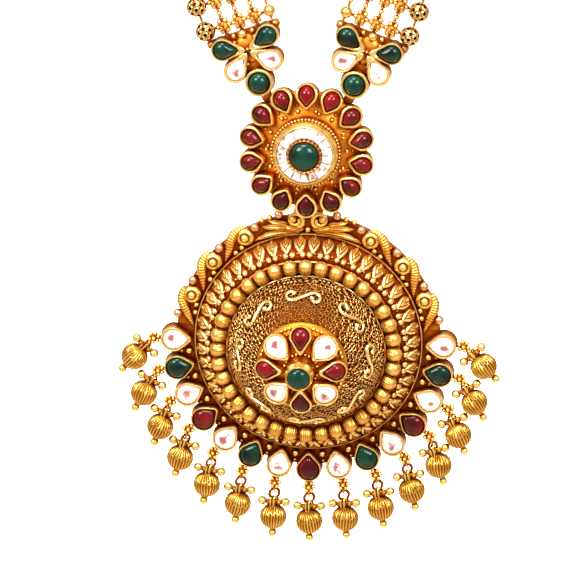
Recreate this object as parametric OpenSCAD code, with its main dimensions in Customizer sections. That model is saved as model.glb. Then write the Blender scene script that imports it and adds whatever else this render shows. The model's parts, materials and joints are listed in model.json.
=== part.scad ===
// Long necklace: beaded bands, petal connectors, ruby rosette and a domed pendant with bead drops.
// Millimetres. The origin is the nape of the neck, +Z is up and the front faces -Y.

/* [Bands] */
// Rows of beads on each side
row_count = 55; // [50:1:56]
// Diameter of the openwork outer beads
outer_bead_d = 4.0; // [3.6:0.1:4.2]
// Diameter of the star bead strands
star_strand_d = 2.8; // [2.2:0.1:3.0]
// Diameter of the plain inner beads
inner_strand_d = 2.2; // [1.8:0.1:2.4]
// Diameter of the thread through the outer beads
thread_d = 0.5; // [0.4:0.1:0.5]

/* [Connectors] */
// Lean of each band and connector away from the vertical
band_lean = 20; // [19:0.5:21]
// Sideways place of a connector's centre
connector_x = 12.3; // [12.2:0.1:12.6]
// Height of a connector's centre above the rosette's centre
connector_rise = 20.9; // [20.8:0.1:21.2]
// Width of a petal bezel
petal_w = 4.8; // [4.4:0.1:4.9]
// Length of a petal bezel
petal_l = 6.3; // [6.0:0.1:6.4]
// Diameter of the round bezel
round_bezel_d = 5.9; // [5.5:0.1:6.0]

/* [Rosette] */
// Number of rubies around the rosette
rosette_count = 14; // [12:1:14]
// Outer radius of the rosette
rosette_r = 13.8; // [13.8:0.1:14.0]
// Width of a ruby bezel
ruby_w = 4.8; // [4.4:0.1:4.9]
// Length of a ruby bezel
ruby_l = 5.8; // [5.4:0.1:6.0]
// Radius of the raised collar
collar_r = 7.3; // [7.0:0.1:7.4]
// Number of tapered crystals inside the collar
crystal_count = 18; // [14:1:20]
// Diameter of the round centre stone
rosette_stone_d = 6.0; // [5.6:0.1:6.0]

/* [Pendant] */
// Distance from the rosette's centre down to the pendant's centre
pendant_drop = 42.6; // [42.6:0.1:43.0]
// Backward lean of the hanging pendant
pendant_lean = 5; // [3:0.5:8]
// Radius of the back plate
plate_r = 27.9; // [27.6:0.1:27.9]
// Thickness of the back plates
plate_t = 1.2; // [1.0:0.1:1.3]
// Number of stones in the fan
fan_count = 15; // [15:1:15]
// Outer radius of the fan of stones
fan_r = 31.25; // [31.0:0.05:31.4]
// Width of a fan bezel
fan_w = 5.5; // [5.2:0.1:5.6]
// Length of a fan bezel
fan_l = 7.0; // [6.6:0.1:7.2]
// Height of the bezels above the plate's back
bezel_h = 3.3; // [3.0:0.1:3.4]

/* [Domed boss] */
// Radius of the dome's rim
dome_r = 16.5; // [16.3:0.1:16.5]
// Height of the dome's rim above the plate's back
dome_rim_z = 7.8; // [7.6:0.1:8.0]
// Rise of the dome above its rim
dome_rise = 11; // [10:0.5:11.5]
// Number of beads around the dome
bead_count = 36; // [32:1:36]
// Radius of the ring of beads
bead_ring_r = 18.5; // [18.4:0.1:18.6]
// Diameter of a bead in that ring
ring_bead_d = 3.1; // [2.9:0.1:3.1]
// Number of leaves on the flank
leaf_count = 46; // [40:1:48]
// Outer radius of the flower on the dome
flower_r = 9.6; // [9.5:0.1:9.7]
// Height of the flower's collet above the plate's back
collet_z = 23.4; // [23.0:0.1:24.0]

/* [Drops] */
// Diameter of the ribbed bead of a drop
drop_bead_d = 5.4; // [5.0:0.1:5.5]
// Diameter of the two side balls of a drop
side_ball_d = 1.5; // [1.3:0.1:1.6]
// Radius from the pendant's centre to the daisy beads
daisy_ring_r = 32.7; // [32.5:0.1:32.9]

/* [Hidden] */
$fn = 48;
gap = 0.05;

gold = "goldenrod";
ruby = "darkred";
emerald = "darkgreen";
crystal = "whitesmoke";

// Rosette centre in the necklace's frame
rosette_y = -135;
rosette_z = -177;

// Setting walls and pocket floors
wall_ratio = 0.74;
pocket_z = 1.4;
stone_ratio = 0.71;

// Hinge between rosette and pendant, in the rosette's and in the pendant's frame
hinge_back = 3.2;
hinge_on_pendant = 28.3;
hinge_on_rosette = -(pendant_drop - hinge_on_pendant);
pin_r = 0.6;
bore_r = 0.66;
knuckle_r = 1.2;
knuckle_w = 3.6;
lug_r = 1.15;
lug_w = 1.0;
lug_x = 2.45;

// Dome sphere
dome_sphere_r = (dome_r * dome_r + dome_rise * dome_rise) / (2 * dome_rise);
dome_sphere_z = dome_rim_z + dome_rise - dome_sphere_r;
dome_wall = 0.6;

// Leaf flank, from its foot to its shelf
flank_foot_r = 23.5;
flank_foot_z = 2.0;
flank_top_r = 20.3;
shelf_z = 6.4;
flank_angle = atan2(shelf_z - flank_foot_z, flank_foot_r - flank_top_r);

// Fan stones from left to right
fan_kinds = ["clear", "green", "clear", "ruby", "clear", "green", "clear", "ruby",
             "clear", "green", "clear", "ruby", "clear", "green", "clear"];
fan_step = 180 / (fan_count - 1);
// Outward splay of each drop, counted from the middle one
drop_splay = [0, 3, 8, 11, 16, 20, 30, 43];
daisy_z = 1.8;
daisy_r = 1.2;
eye_r = 0.55;
link_r = 0.8;
wire_r = 0.2;

// Strand offsets from the band's middle line, inner edge first
inner_offset = -6.9;
star_offsets = [-3.6, -0.2, 3.1];
outer_offset = 7.1;

// Band route: control points of two Bezier spans, chest to shoulder and shoulder to nape
band_depth = 1.6;
band_start_rise = 4.25;
band_start = [
    connector_x + band_start_rise * sin(band_lean),
    rosette_y - band_depth,
    rosette_z + connector_rise + band_start_rise * cos(band_lean)
];
band_reach = 75;
shoulder = [68, -45, 8];
nape_end = [6.1, 1.8, 0];
chest_span = [
    band_start,
    band_start + band_reach * [sin(band_lean), 0, cos(band_lean)],
    [68, -110, 8],
    shoulder
];
nape_span = [shoulder, [68, -12, 8], [42, 1.8, 0], nape_end];
samples = 160;
first_row = outer_bead_d / 2 + 0.05;
last_row = outer_bead_d / 2 + 0.3;

// Band route as functions of u: 0 to 1 over the chest, 1 to 2 round to the nape
function bezier(p, t) =
    pow(1 - t, 3) * p[0] + 3 * t * pow(1 - t, 2) * p[1] + 3 * t * t * (1 - t) * p[2] + pow(t, 3) * p[3];
function route(u) = u <= 1 ? bezier(chest_span, u) : bezier(nape_span, u - 1);
function unit(v) = v / norm(v);
function route_step(i) = norm(route(2 * (i + 1) / samples) - route(2 * i / samples));
length_table = [for (i = 0, s = 0; i <= samples; s = s + route_step(i), i = i + 1) [s, 2 * i / samples]];
band_length = length_table[samples][0];
function u_at(s) = lookup(s, length_table);
function tangent(u) = unit(route(min(u + 0.005, 2)) - route(max(u - 0.005, 0)));

// Outward normal of the band: level with the chest, up on the shoulder, back at the nape
function smooth(t) = t * t * (3 - 2 * t);
function raw_normal(u, t) =
    u <= 1 ? [0, -t[2], t[1]] : [0, sin(90 * smooth(u - 1)), cos(90 * smooth(u - 1))];
function normal(u, t) = unit(raw_normal(u, t) - (raw_normal(u, t) * t) * t);
function strand_point(u, offset) = route(u) + offset * cross(tangent(u), normal(u, tangent(u)));
function strand_heading(u, offset) =
    unit(strand_point(min(u + 0.008, 2), offset) - strand_point(max(u - 0.008, 0), offset));
row_pitch = (band_length - first_row - last_row) / (row_count - 1);
function row_u(i) = u_at(first_row + i * row_pitch);

// Faces of a stack of closed rings with the given number of points each
function stack_faces(rings, sides) = concat(
    [[for (k = [0:sides - 1]) k]],
    [for (j = [0:rings - 2], k = [0:sides - 1])
        [j * sides + k, (j + 1) * sides + k, (j + 1) * sides + (k + 1) % sides, j * sides + (k + 1) % sides]],
    [[for (k = [sides - 1:-1:0]) (rings - 1) * sides + k]]
);

// Strand of a band, swept along the route at an offset from its middle line
module strand(offset, radius, rings) {
    sides = 8;
    points = [
        for (j = [0:rings - 1])
            let (u = u_at(band_length * j / (rings - 1)), t = tangent(u), n = normal(u, t), w = cross(t, n))
                for (k = [0:sides - 1])
                    route(u) + offset * w + radius * (cos(360 * k / sides) * n + sin(360 * k / sides) * w)
    ];
    polyhedron(points, stack_faces(rings, sides), convexity = 10);
}

module both_sides() {
    children();
    mirror([1, 0, 0]) children();
}

module point_along(direction) {
    rotate([0, acos(direction[2]), atan2(direction[1], direction[0])]) children();
}

// Face-up frames: X right, Y up, Z towards the viewer
module at_rosette() {
    translate([0, rosette_y, rosette_z]) rotate([90, 0, 0]) children();
}

module at_pendant() {
    translate([0, rosette_y + hinge_back, rosette_z + hinge_on_rosette])
        rotate([90 + pendant_lean, 0, 0])
            translate([0, -hinge_on_pendant, 0])
                children();
}

module at_connector(side) {
    at_rosette()
        mirror([side < 0 ? 1 : 0, 0, 0])
            translate([connector_x, connector_rise, 0])
                rotate([0, 0, -band_lean])
                    children();
}

// Clockwise from the top at a radius, with the outside along Y
module polar(angle, radius) {
    rotate([0, 0, -angle]) translate([0, radius, 0]) children();
}

// Teardrop with its round end at the origin and its tip down
module teardrop(r, tip) {
    a = asin(r / tip);
    circle(r);
    polygon([[0, -tip], [r * cos(a), -r * sin(a)], [-r * cos(a), -r * sin(a)]]);
}

// Polished domed stone, a teardrop or, where tip equals r, a round
module cabochon(r, tip, height) {
    half = (tip + r) / 2;
    sag = height * 0.62;
    ball = (half * half + sag * sag) / (2 * sag);
    intersection() {
        linear_extrude(height) {
            if (tip > r) teardrop(r, tip);
            else circle(r);
        }
        translate([0, -(tip - r) / 2, height - ball]) sphere(ball);
    }
}

// Flat cut stone with a table, a ring of crown facets and a girdle
module flat_cut(r, tip, height) {
    a = asin(r / tip);
    arc_points = 9;
    table = 0.62;
    girdle = 0.45 * height;
    outline = concat(
        [[0, -tip]],
        [for (i = [0:arc_points - 1])
            let (b = -a + i * (180 + 2 * a) / (arc_points - 1)) [r * cos(b), r * sin(b)]]
    );
    levels = [[1, 0], [1, girdle], [table, height]];
    points = [for (level = levels, p = outline) [p[0] * level[0], p[1] * level[0], level[1]]];
    polyhedron(points, stack_faces(3, arc_points + 1));
}

module clasp() {
    width = 12;
    height = 18;
    thickness = 3.6;
    corner = 1.5;
    color(gold)
        translate([0, thickness, -0.4])
            rotate([90, 0, 0])
                linear_extrude(thickness) {
                    square([width - 2 * corner, height], center = true);
                    square([width, height - 2 * corner], center = true);
                    for (x = [-1, 1], y = [-1, 1])
                        translate([x * (width / 2 - corner), y * (height / 2 - corner)]) circle(corner);
                }
}

module outer_thread() {
    color("saddlebrown") both_sides() strand(outer_offset, thread_d / 2, row_count + 1);
}

module outer_beads() {
    bore = thread_d / 2 + 0.25;
    color(gold)
        both_sides()
            for (i = [0:row_count - 1])
                translate(strand_point(row_u(i), outer_offset))
                    point_along(strand_heading(row_u(i), outer_offset))
                        difference() {
                            sphere(outer_bead_d / 2);
                            cylinder(r = bore, h = outer_bead_d + 1, center = true);
                        }
}

module star_strand(i) {
    color(gold) both_sides() strand(star_offsets[i - 1], star_strand_d / 2, 40);
}

module inner_strand() {
    color(gold) both_sides() strand(inner_offset, inner_strand_d / 2, 44);
}

// Petal angles from the band's axis, and the radius of their round ends' centres
green_angle = 70.5;
clear_angle = 130.5;
petal_ring = 7.65 - petal_w / 2;
petal_tip = petal_l - petal_w / 2;
round_drop = 7.1;
stud_drop = 12.6;
tab_top = -0.15;
tab_t = 0.85;

module petal_places() {
    for (a = [green_angle, -green_angle, clear_angle, -clear_angle]) polar(a, petal_ring) children();
}

module connector(side) {
    petal_r = petal_w / 2;
    round_r = round_bezel_d / 2;
    color(gold)
        at_connector(side)
            difference() {
                union() {
                    petal_places() linear_extrude(bezel_h) teardrop(petal_r, petal_tip);
                    translate([0, -round_drop, 0]) cylinder(r = round_r, h = bezel_h + 0.4);
                    cylinder(r = 3.2, h = plate_t);
                    translate([-1.6, -round_drop, 0]) cube([3.2, round_drop, plate_t]);
                    // End bar that the strands are caught in
                    translate([-8, 2.4, 0]) cube([15.9, 1.75, 2.3]);
                    // Tab to the rosette's stud
                    translate([-1.1, -10, tab_top - tab_t]) cube([2.2, 3.5, tab_t - tab_top + 0.3]);
                    translate([-1.2, -stud_drop, tab_top - tab_t]) cube([2.4, 4, tab_t]);
                    translate([0, -stud_drop, tab_top - tab_t]) cylinder(r = 1.2, h = tab_t);
                }
                petal_places()
                    translate([0, 0, pocket_z])
                        linear_extrude(bezel_h) teardrop(petal_r * wall_ratio, petal_tip * wall_ratio);
                translate([0, -round_drop, pocket_z]) cylinder(r = round_r * wall_ratio + gap, h = bezel_h);
                translate([0, -stud_drop, -3]) cylinder(r = 0.65, h = 4);
            }
}

module petal_stone(side, angle, kind) {
    r = petal_w / 2 * stone_ratio;
    tip = petal_tip * stone_ratio;
    at_connector(side)
        polar(angle, petal_ring)
            translate([0, 0, pocket_z + gap])
                if (kind == "green") color(emerald) cabochon(r, tip, 2.6);
                else color(crystal) flat_cut(r, tip, 1.9);
}

module round_green(side) {
    r = round_bezel_d / 2 * wall_ratio;
    color(emerald) at_connector(side) translate([0, -round_drop, pocket_z + gap]) cabochon(r, r, 3.4);
}

ruby_ring = rosette_r - ruby_w / 2;
ruby_tip = ruby_l - ruby_w / 2;

module ruby_places() {
    for (i = [0:rosette_count - 1]) polar(i * 360 / rosette_count, ruby_ring) children();
}

// Raised collar with the crystal cup and the centre collet
crystal_in = 3.65;
crystal_out = 5.8;
cup_low = 4.6;
cup_high = 5.2;
module collar() {
    stone_r = rosette_stone_d / 2;
    rotate_extrude()
        polygon([
            [0, 0], [collar_r, 0], [collar_r, 2.6], [collar_r - 0.3, 3.4], [6.3, 5.4], [crystal_out + 0.1, 5.7],
            [crystal_out + 0.1, cup_low], [crystal_in - 0.1, cup_high], [crystal_in - 0.1, 6.9],
            [stone_r + gap, 6.9], [stone_r + gap, 5.9], [0, 5.9]
        ]);
}

// Hinge lug, drawn with the viewer's side to the right and the hinge axis at the origin
module lug() {
    rotate([0, 90, 0])
        linear_extrude(lug_w, center = true)
            mirror([1, 0]) {
                circle(lug_r);
                polygon([[-1.15, 0], [-1.15, 3.2], [hinge_back + 0.1, 6.4], [hinge_back + 0.1, 3.6],
                         [0.9, 2.6], [1.0, 0.57]]);
            }
}

module rosette() {
    ruby_r = ruby_w / 2;
    color(gold)
        at_rosette()
            difference() {
                union() {
                    cylinder(r = 12.4, h = plate_t);
                    ruby_places() linear_extrude(bezel_h) teardrop(ruby_r, ruby_tip);
                    collar();
                    for (i = [0:rosette_count - 1])
                        polar((i + 0.5) * 360 / rosette_count, 8.7) translate([0, 0, plate_t]) sphere(0.55);
                    translate([0, hinge_on_rosette, -hinge_back]) {
                        for (x = [-lug_x, lug_x]) translate([x, 0, 0]) lug();
                        rotate([0, 90, 0]) cylinder(r = pin_r, h = 2 * lug_x + lug_w, center = true);
                    }
                    // Studs that hold the connectors' tabs
                    for (side = [-1, 1])
                        translate([
                            side * (connector_x - stud_drop * sin(band_lean)),
                            connector_rise - stud_drop * cos(band_lean),
                            tab_top - tab_t - 0.55
                        ]) {
                            cylinder(r = 0.5, h = 2);
                            cylinder(r = 1, h = 0.4);
                        }
                }
                ruby_places()
                    translate([0, 0, pocket_z])
                        linear_extrude(bezel_h) teardrop(ruby_r * wall_ratio, ruby_tip * wall_ratio);
            }
}

module rosette_center_stone() {
    r = rosette_stone_d / 2;
    color(emerald) at_rosette() translate([0, 0, 5.9 + gap]) cabochon(r, r, 2.3);
}

module rosette_ruby_ring() {
    color(ruby)
        at_rosette()
            ruby_places()
                translate([0, 0, pocket_z + gap])
                    cabochon(ruby_w / 2 * stone_ratio, ruby_tip * stone_ratio, 2.6);
}

// Tapered crystal with a table, four bevels and a girdle, lying on the sloped cup
module baguette() {
    half = 180 / crystal_count;
    edge = 0.12;
    function cup_z(r) = cup_low + (crystal_out + 0.1 - r) / (crystal_out - crystal_in + 0.2) * (cup_high - cup_low);
    function corner(r, x_side, inset, z) =
        [x_side * (r * tan(half) - 0.06 - inset), r + (r > 5 ? -inset : inset), cup_z(r) + z];
    function level(inset, z) = [
        corner(crystal_in, -1, inset, z), corner(crystal_in, 1, inset, z),
        corner(crystal_out, 1, inset, z), corner(crystal_out, -1, inset, z)
    ];
    polyhedron(concat(level(0, 0.1), level(0, 0.65), level(edge, 0.85)), stack_faces(3, 4));
}

module rosette_crystal_ring() {
    color(crystal)
        at_rosette() for (i = [0:crystal_count - 1]) rotate([0, 0, i * 360 / crystal_count]) baguette();
}

fan_ring = fan_r - fan_w / 2;
fan_tip = fan_l - fan_w / 2;
function fan_angle(i) = 270 - (i - 1) * fan_step;

// Frame of drop i: origin at its daisy bead, Y up the line that it hangs along
module at_drop(i) {
    side = sign(i - (fan_count + 1) / 2);
    splay = side * drop_splay[abs(i - (fan_count + 1) / 2)];
    translate([daisy_ring_r * sin(fan_angle(i)), daisy_ring_r * cos(fan_angle(i)), daisy_z])
        rotate([0, 0, splay])
            children();
}

module wire_ring(r) {
    rotate_extrude() translate([r, 0]) circle(wire_r);
}

module pendant_plate() {
    fan_half = fan_w / 2;
    color(gold)
        at_pendant()
            difference() {
                union() {
                    cylinder(r = plate_r, h = plate_t);
                    for (i = [1:fan_count]) {
                        polar(fan_angle(i), fan_ring) linear_extrude(bezel_h) teardrop(fan_half, fan_tip);
                        // Neck, daisy bead and eyelet that the drop hangs from
                        polar(fan_angle(i), fan_r - 0.4)
                            translate([0, 0, daisy_z]) rotate([-90, 0, 0]) cylinder(r = 0.5, h = 1.5);
                        at_drop(i) {
                            sphere(daisy_r);
                            translate([0, -1.55, 0]) rotate([0, 90, 0]) wire_ring(eye_r);
                        }
                    }
                    for (i = [1:fan_count - 1])
                        polar(fan_angle(i + 0.5), 25.4) translate([0, 0, plate_t]) sphere(0.6);
                    // Hinge knuckle and its arm
                    translate([0, hinge_on_pendant, 0])
                        rotate([0, 90, 0]) cylinder(r = knuckle_r, h = knuckle_w, center = true);
                    translate([-knuckle_w / 2, 24.5, -0.6]) cube([knuckle_w, 3.2, 0.6 + plate_t]);
                }
                for (i = [1:fan_count])
                    polar(fan_angle(i), fan_ring)
                        translate([0, 0, pocket_z])
                            linear_extrude(bezel_h) teardrop(fan_half * wall_ratio, fan_tip * wall_ratio);
                translate([0, hinge_on_pendant, 0])
                    rotate([0, 90, 0]) cylinder(r = bore_r, h = knuckle_w + 1, center = true);
                // Room for the lugs
                for (x = [-lug_x, lug_x])
                    translate([x - 0.65 - (x < 0 ? 0.35 : 0), 26.85, -1]) cube([1.65, 3, 4]);
            }
}

// Curved scroll that tapers from a wide head to a fine tail, clockwise round the plate
module taper(start, sweep, head_r, tail_r, head_w, tail_w, height) {
    steps = 8;
    function mid_r(t) = head_r + (tail_r - head_r) * t;
    function half_w(t) = (head_w + (tail_w - head_w) * t) / 2;
    function at(t, r) = [r * sin(start + sweep * t), r * cos(start + sweep * t)];
    linear_extrude(height)
        polygon(concat(
            [for (k = [0:steps]) at(k / steps, mid_r(k / steps) + half_w(k / steps))],
            [for (k = [steps:-1:0]) at(k / steps, mid_r(k / steps) - half_w(k / steps))]
        ));
}

boss_angles = [29, 47.6, 66.9];
ball_angles = [23.1, 41.7, 60.8, 77.2];
border_z = plate_t + gap;

module border_half() {
    // Volute with its eye, and the leaf that sweeps from it
    translate([2.4, 26.65, border_z + 0.1]) {
        difference() {
            cylinder(r = 1.8, h = 1.5);
            translate([0, 0, -1]) cylinder(r = 0.95, h = 4);
        }
        translate([0.5, 0.35, 0.8]) sphere(0.6);
    }
    translate([0, 0, border_z]) taper(6.5, 18, 26.1, 25.3, 2.4, 0.5, 1.4);
    polar(12.4, 28.6) translate([0, 0, border_z + 0.93]) sphere(0.95);
    for (a = boss_angles) {
        polar(a, 26.9)
            translate([0, 0, border_z]) {
                difference() {
                    cylinder(r = 1.7, h = 1.5);
                    translate([0, 0, 1]) cylinder(r = 1.25, h = 2);
                }
                translate([0, 0, 1.2]) sphere(0.6);
            }
        translate([0, 0, border_z]) taper(a + 3, 10, 27.5, 25.7, 1.7, 0.6, 1.2);
        polar(a + 6, 25.2) translate([0, 0, border_z + 0.5]) sphere(0.5);
        polar(a + 9, 24.95) translate([0, 0, border_z + 0.4]) sphere(0.4);
    }
    for (a = ball_angles) polar(a, 28.1) translate([0, 0, border_z + 0.88]) sphere(0.9);
}

module scroll_border() {
    color(gold)
        at_pendant() {
            translate([0, 0, border_z])
                rotate([0, 0, 7])
                    rotate_extrude(angle = 166) translate([24.7, 0]) square([3.2, 0.4]);
            border_half();
            mirror([1, 0, 0]) border_half();
            translate([0, 25.6, border_z + 0.6]) sphere(0.5);
        }
}

// Pointed leaf, lying flat
module leaf(length, width, height) {
    r = (length * length + width * width) / (4 * width);
    linear_extrude(height)
        intersection() {
            translate([r - width / 2, 0]) circle(r);
            translate([width / 2 - r, 0]) circle(r);
        }
}

module leaf_ring() {
    mid_r = (flank_foot_r + flank_top_r) / 2;
    mid_z = (flank_foot_z + shelf_z) / 2;
    color(gold)
        at_pendant() {
            rotate_extrude()
                polygon([
                    [24.15, border_z], [24.15, flank_foot_z], [flank_foot_r, flank_foot_z], [flank_top_r, shelf_z],
                    [17, shelf_z], [17, shelf_z - 0.6], [flank_top_r - 0.3, shelf_z - 0.6], [23, border_z]
                ]);
            for (i = [0:leaf_count - 1])
                polar(i * 360 / leaf_count, mid_r)
                    translate([0, 0, mid_z]) rotate([-flank_angle, 0, 0])
                        translate([0, 0, -0.15]) leaf(4.2, 2.2, 0.6);
        }
}

module bead_ring() {
    base_z = shelf_z + gap;
    color(gold)
        at_pendant() {
            translate([0, 0, base_z])
                rotate_extrude() translate([dome_r + 0.55, 0]) square([2.6, 0.7]);
            for (i = [0:bead_count - 1])
                polar(i * 360 / bead_count, bead_ring_r)
                    translate([0, 0, base_z + ring_bead_d / 2]) sphere(ring_bead_d / 2);
        }
}

// S-scroll of round wire, lying flat along X
module s_scroll() {
    curl = 1.0;
    wire = 0.34;
    reach = 1.8;
    lift = 0.25;
    for (turn = [0, 180])
        rotate([0, 0, turn])
            translate([-reach, lift, 0]) rotate_extrude(angle = 270) translate([curl, 0]) circle(wire);
    rise = curl - lift;
    run = norm([reach, rise]);
    rotate([0, 0, atan2(rise, reach)]) rotate([0, 90, 0]) cylinder(r = wire, h = 2 * run, center = true);
}

// Rows of piercings: angle down from the crown of the dome, and number of holes
pierced_rows = [[33, 16], [39.5, 18], [46, 21], [52.5, 23], [59, 25]];
scroll_count = 8;
scroll_angle = 51;

module filigree_dome() {
    color(gold)
        at_pendant() {
            difference() {
                union() {
                    translate([0, 0, border_z]) cylinder(r = dome_r, h = dome_rim_z - border_z);
                    intersection() {
                        translate([0, 0, dome_sphere_z]) sphere(dome_sphere_r);
                        translate([0, 0, dome_rim_z - 0.1]) cylinder(r = dome_r + 1, h = dome_rise + 1);
                    }
                }
                translate([0, 0, border_z - 1]) cylinder(r = dome_r - 0.8, h = dome_rim_z - border_z + 1);
                intersection() {
                    translate([0, 0, dome_sphere_z]) sphere(dome_sphere_r - dome_wall);
                    translate([0, 0, dome_rim_z - 0.2]) cylinder(r = dome_r, h = dome_rise + 1);
                }
                for (row = pierced_rows, i = [0:row[1] - 1])
                    translate([0, 0, dome_sphere_z])
                        rotate([0, 0, i * 360 / row[1]]) rotate([-row[0], 0, 0])
                            translate([0, 0, dome_sphere_r - 2]) cylinder(r = 0.75, h = 4);
            }
            translate([0, 0, dome_rim_z + 0.1]) rotate_extrude() translate([dome_r + 0.05, 0]) circle(0.4);
            for (i = [0:scroll_count - 1])
                translate([0, 0, dome_sphere_z])
                    rotate([0, 0, -i * 360 / scroll_count]) rotate([-scroll_angle, 0, 0])
                        translate([0, 0, dome_sphere_r - 0.05]) s_scroll();
        }
}

flower_base_z = 19.2;
flower_pocket_z = flower_base_z + 0.3;
flower_top_z = 21.4;
flower_ruby_r = 2.4;
flower_ruby_tip = 4.7;
flower_clear_r = 2.7;
flower_clear_tip = 4.2;
collet_r = 2.7;
collet_stone_r = 2.15;

module flower_places(kind) {
    for (i = [0:3])
        if (kind == "ruby") polar(i * 90, flower_r - flower_ruby_r) children();
        else polar(45 + i * 90, flower_r - 0.1 - flower_clear_r) children();
}

module flower_setting() {
    color(gold)
        at_pendant()
            difference() {
                union() {
                    translate([0, 0, 16.6]) cylinder(r = 8.7, h = flower_base_z - 16.6);
                    translate([0, 0, flower_base_z - 0.3]) {
                        flower_places("ruby")
                            linear_extrude(flower_top_z - flower_base_z + 0.3)
                                teardrop(flower_ruby_r, flower_ruby_tip);
                        flower_places("clear")
                            linear_extrude(flower_top_z - flower_base_z + 0.3)
                                teardrop(flower_clear_r, flower_clear_tip);
                    }
                    translate([0, 0, flower_base_z - 0.2]) cylinder(r = collet_r, h = collet_z - flower_base_z + 0.2);
                }
                translate([0, 0, dome_sphere_z]) sphere(dome_sphere_r + gap);
                translate([0, 0, flower_pocket_z]) {
                    flower_places("ruby")
                        linear_extrude(4)
                            teardrop(flower_ruby_r * wall_ratio, flower_ruby_tip * wall_ratio);
                    flower_places("clear")
                        linear_extrude(4)
                            teardrop(flower_clear_r * wall_ratio, flower_clear_tip * wall_ratio);
                }
                translate([0, 0, collet_z - 0.7]) cylinder(r = collet_stone_r + gap, h = 2);
            }
}

module flower_center_stone() {
    color(emerald)
        at_pendant() translate([0, 0, collet_z - 0.7 + gap]) cabochon(collet_stone_r, collet_stone_r, 1.8);
}

module flower_ruby(i) {
    color(ruby)
        at_pendant()
            polar((i - 1) * 90, flower_r - flower_ruby_r)
                translate([0, 0, flower_pocket_z + gap])
                    cabochon(flower_ruby_r * stone_ratio, flower_ruby_tip * stone_ratio, 2.5);
}

module flower_clear(i) {
    color(crystal)
        at_pendant()
            polar(i * 90 - 45, flower_r - 0.1 - flower_clear_r)
                translate([0, 0, flower_pocket_z + gap])
                    flat_cut(flower_clear_r * stone_ratio, flower_clear_tip * stone_ratio, 2.0);
}

module fan_stone(i) {
    kind = fan_kinds[i - 1];
    r = fan_w / 2 * stone_ratio;
    tip = fan_tip * stone_ratio;
    at_pendant()
        polar(fan_angle(i), fan_ring)
            translate([0, 0, pocket_z + gap])
                if (kind == "clear") color(crystal) flat_cut(r, tip, 2.0);
                else color(kind == "green" ? emerald : ruby) cabochon(r, tip, 2.7);
}

module drop_rings() {
    color(gold)
        at_pendant() for (i = [1:fan_count]) at_drop(i) translate([0, -1.55 - link_r, 0]) wire_ring(link_r);
}

// Places down a drop, from its daisy bead
drop_eye_y = -1.55 - 2 * link_r;
bar_y = drop_eye_y - 0.7;
bar_half = 2.4;
bead_y = bar_y - 0.2 - drop_bead_d / 2;
tip_y = bead_y - drop_bead_d / 2 - 1.05;

module drop() {
    translate([0, drop_eye_y, 0]) rotate([0, 90, 0]) wire_ring(eye_r);
    translate([0, bar_y, 0]) rotate([0, 90, 0]) cylinder(r = 0.3, h = 2 * bar_half, center = true);
    for (x = [-bar_half, bar_half]) translate([x, bar_y, 0]) sphere(side_ball_d / 2);
    translate([0, bead_y, 0]) sphere(drop_bead_d / 2);
    translate([0, bead_y - drop_bead_d / 2 + 0.5, 0])
        rotate([90, 0, 0]) cylinder(r1 = 1.3, r2 = 0.35, h = 1.5);
    translate([0, tip_y, 0]) sphere(0.55);
}

module drops() {
    color(gold) at_pendant() for (i = [1:fan_count]) at_drop(i) drop();
}

clasp();
outer_thread();
outer_beads();
star_strand(1);  // star_strand_1
star_strand(2);  // star_strand_2
star_strand(3);  // star_strand_3
inner_strand();
connector(-1);  // connector_left
connector(1);  // connector_right
petal_stone(-1, green_angle, "green");  // left_green_1
petal_stone(-1, -green_angle, "green");  // left_green_2
petal_stone(-1, clear_angle, "clear");  // left_clear_1
petal_stone(-1, -clear_angle, "clear");  // left_clear_2
round_green(-1);  // left_round_green
petal_stone(1, green_angle, "green");  // right_green_1
petal_stone(1, -green_angle, "green");  // right_green_2
petal_stone(1, clear_angle, "clear");  // right_clear_1
petal_stone(1, -clear_angle, "clear");  // right_clear_2
round_green(1);  // right_round_green
rosette();
rosette_center_stone();
rosette_ruby_ring();
rosette_crystal_ring();
pendant_plate();
scroll_border();
leaf_ring();
bead_ring();
filigree_dome();
flower_setting();
flower_center_stone();
for (i = [1:4]) flower_ruby(i);
for (i = [1:4]) flower_clear(i);
for (i = [1:fan_count]) fan_stone(i);
drop_rings();
drops();
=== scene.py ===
import json
from math import asin, cos, pi, radians, sin

import bpy
import numpy as np
from mathutils import Matrix, Vector


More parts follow.
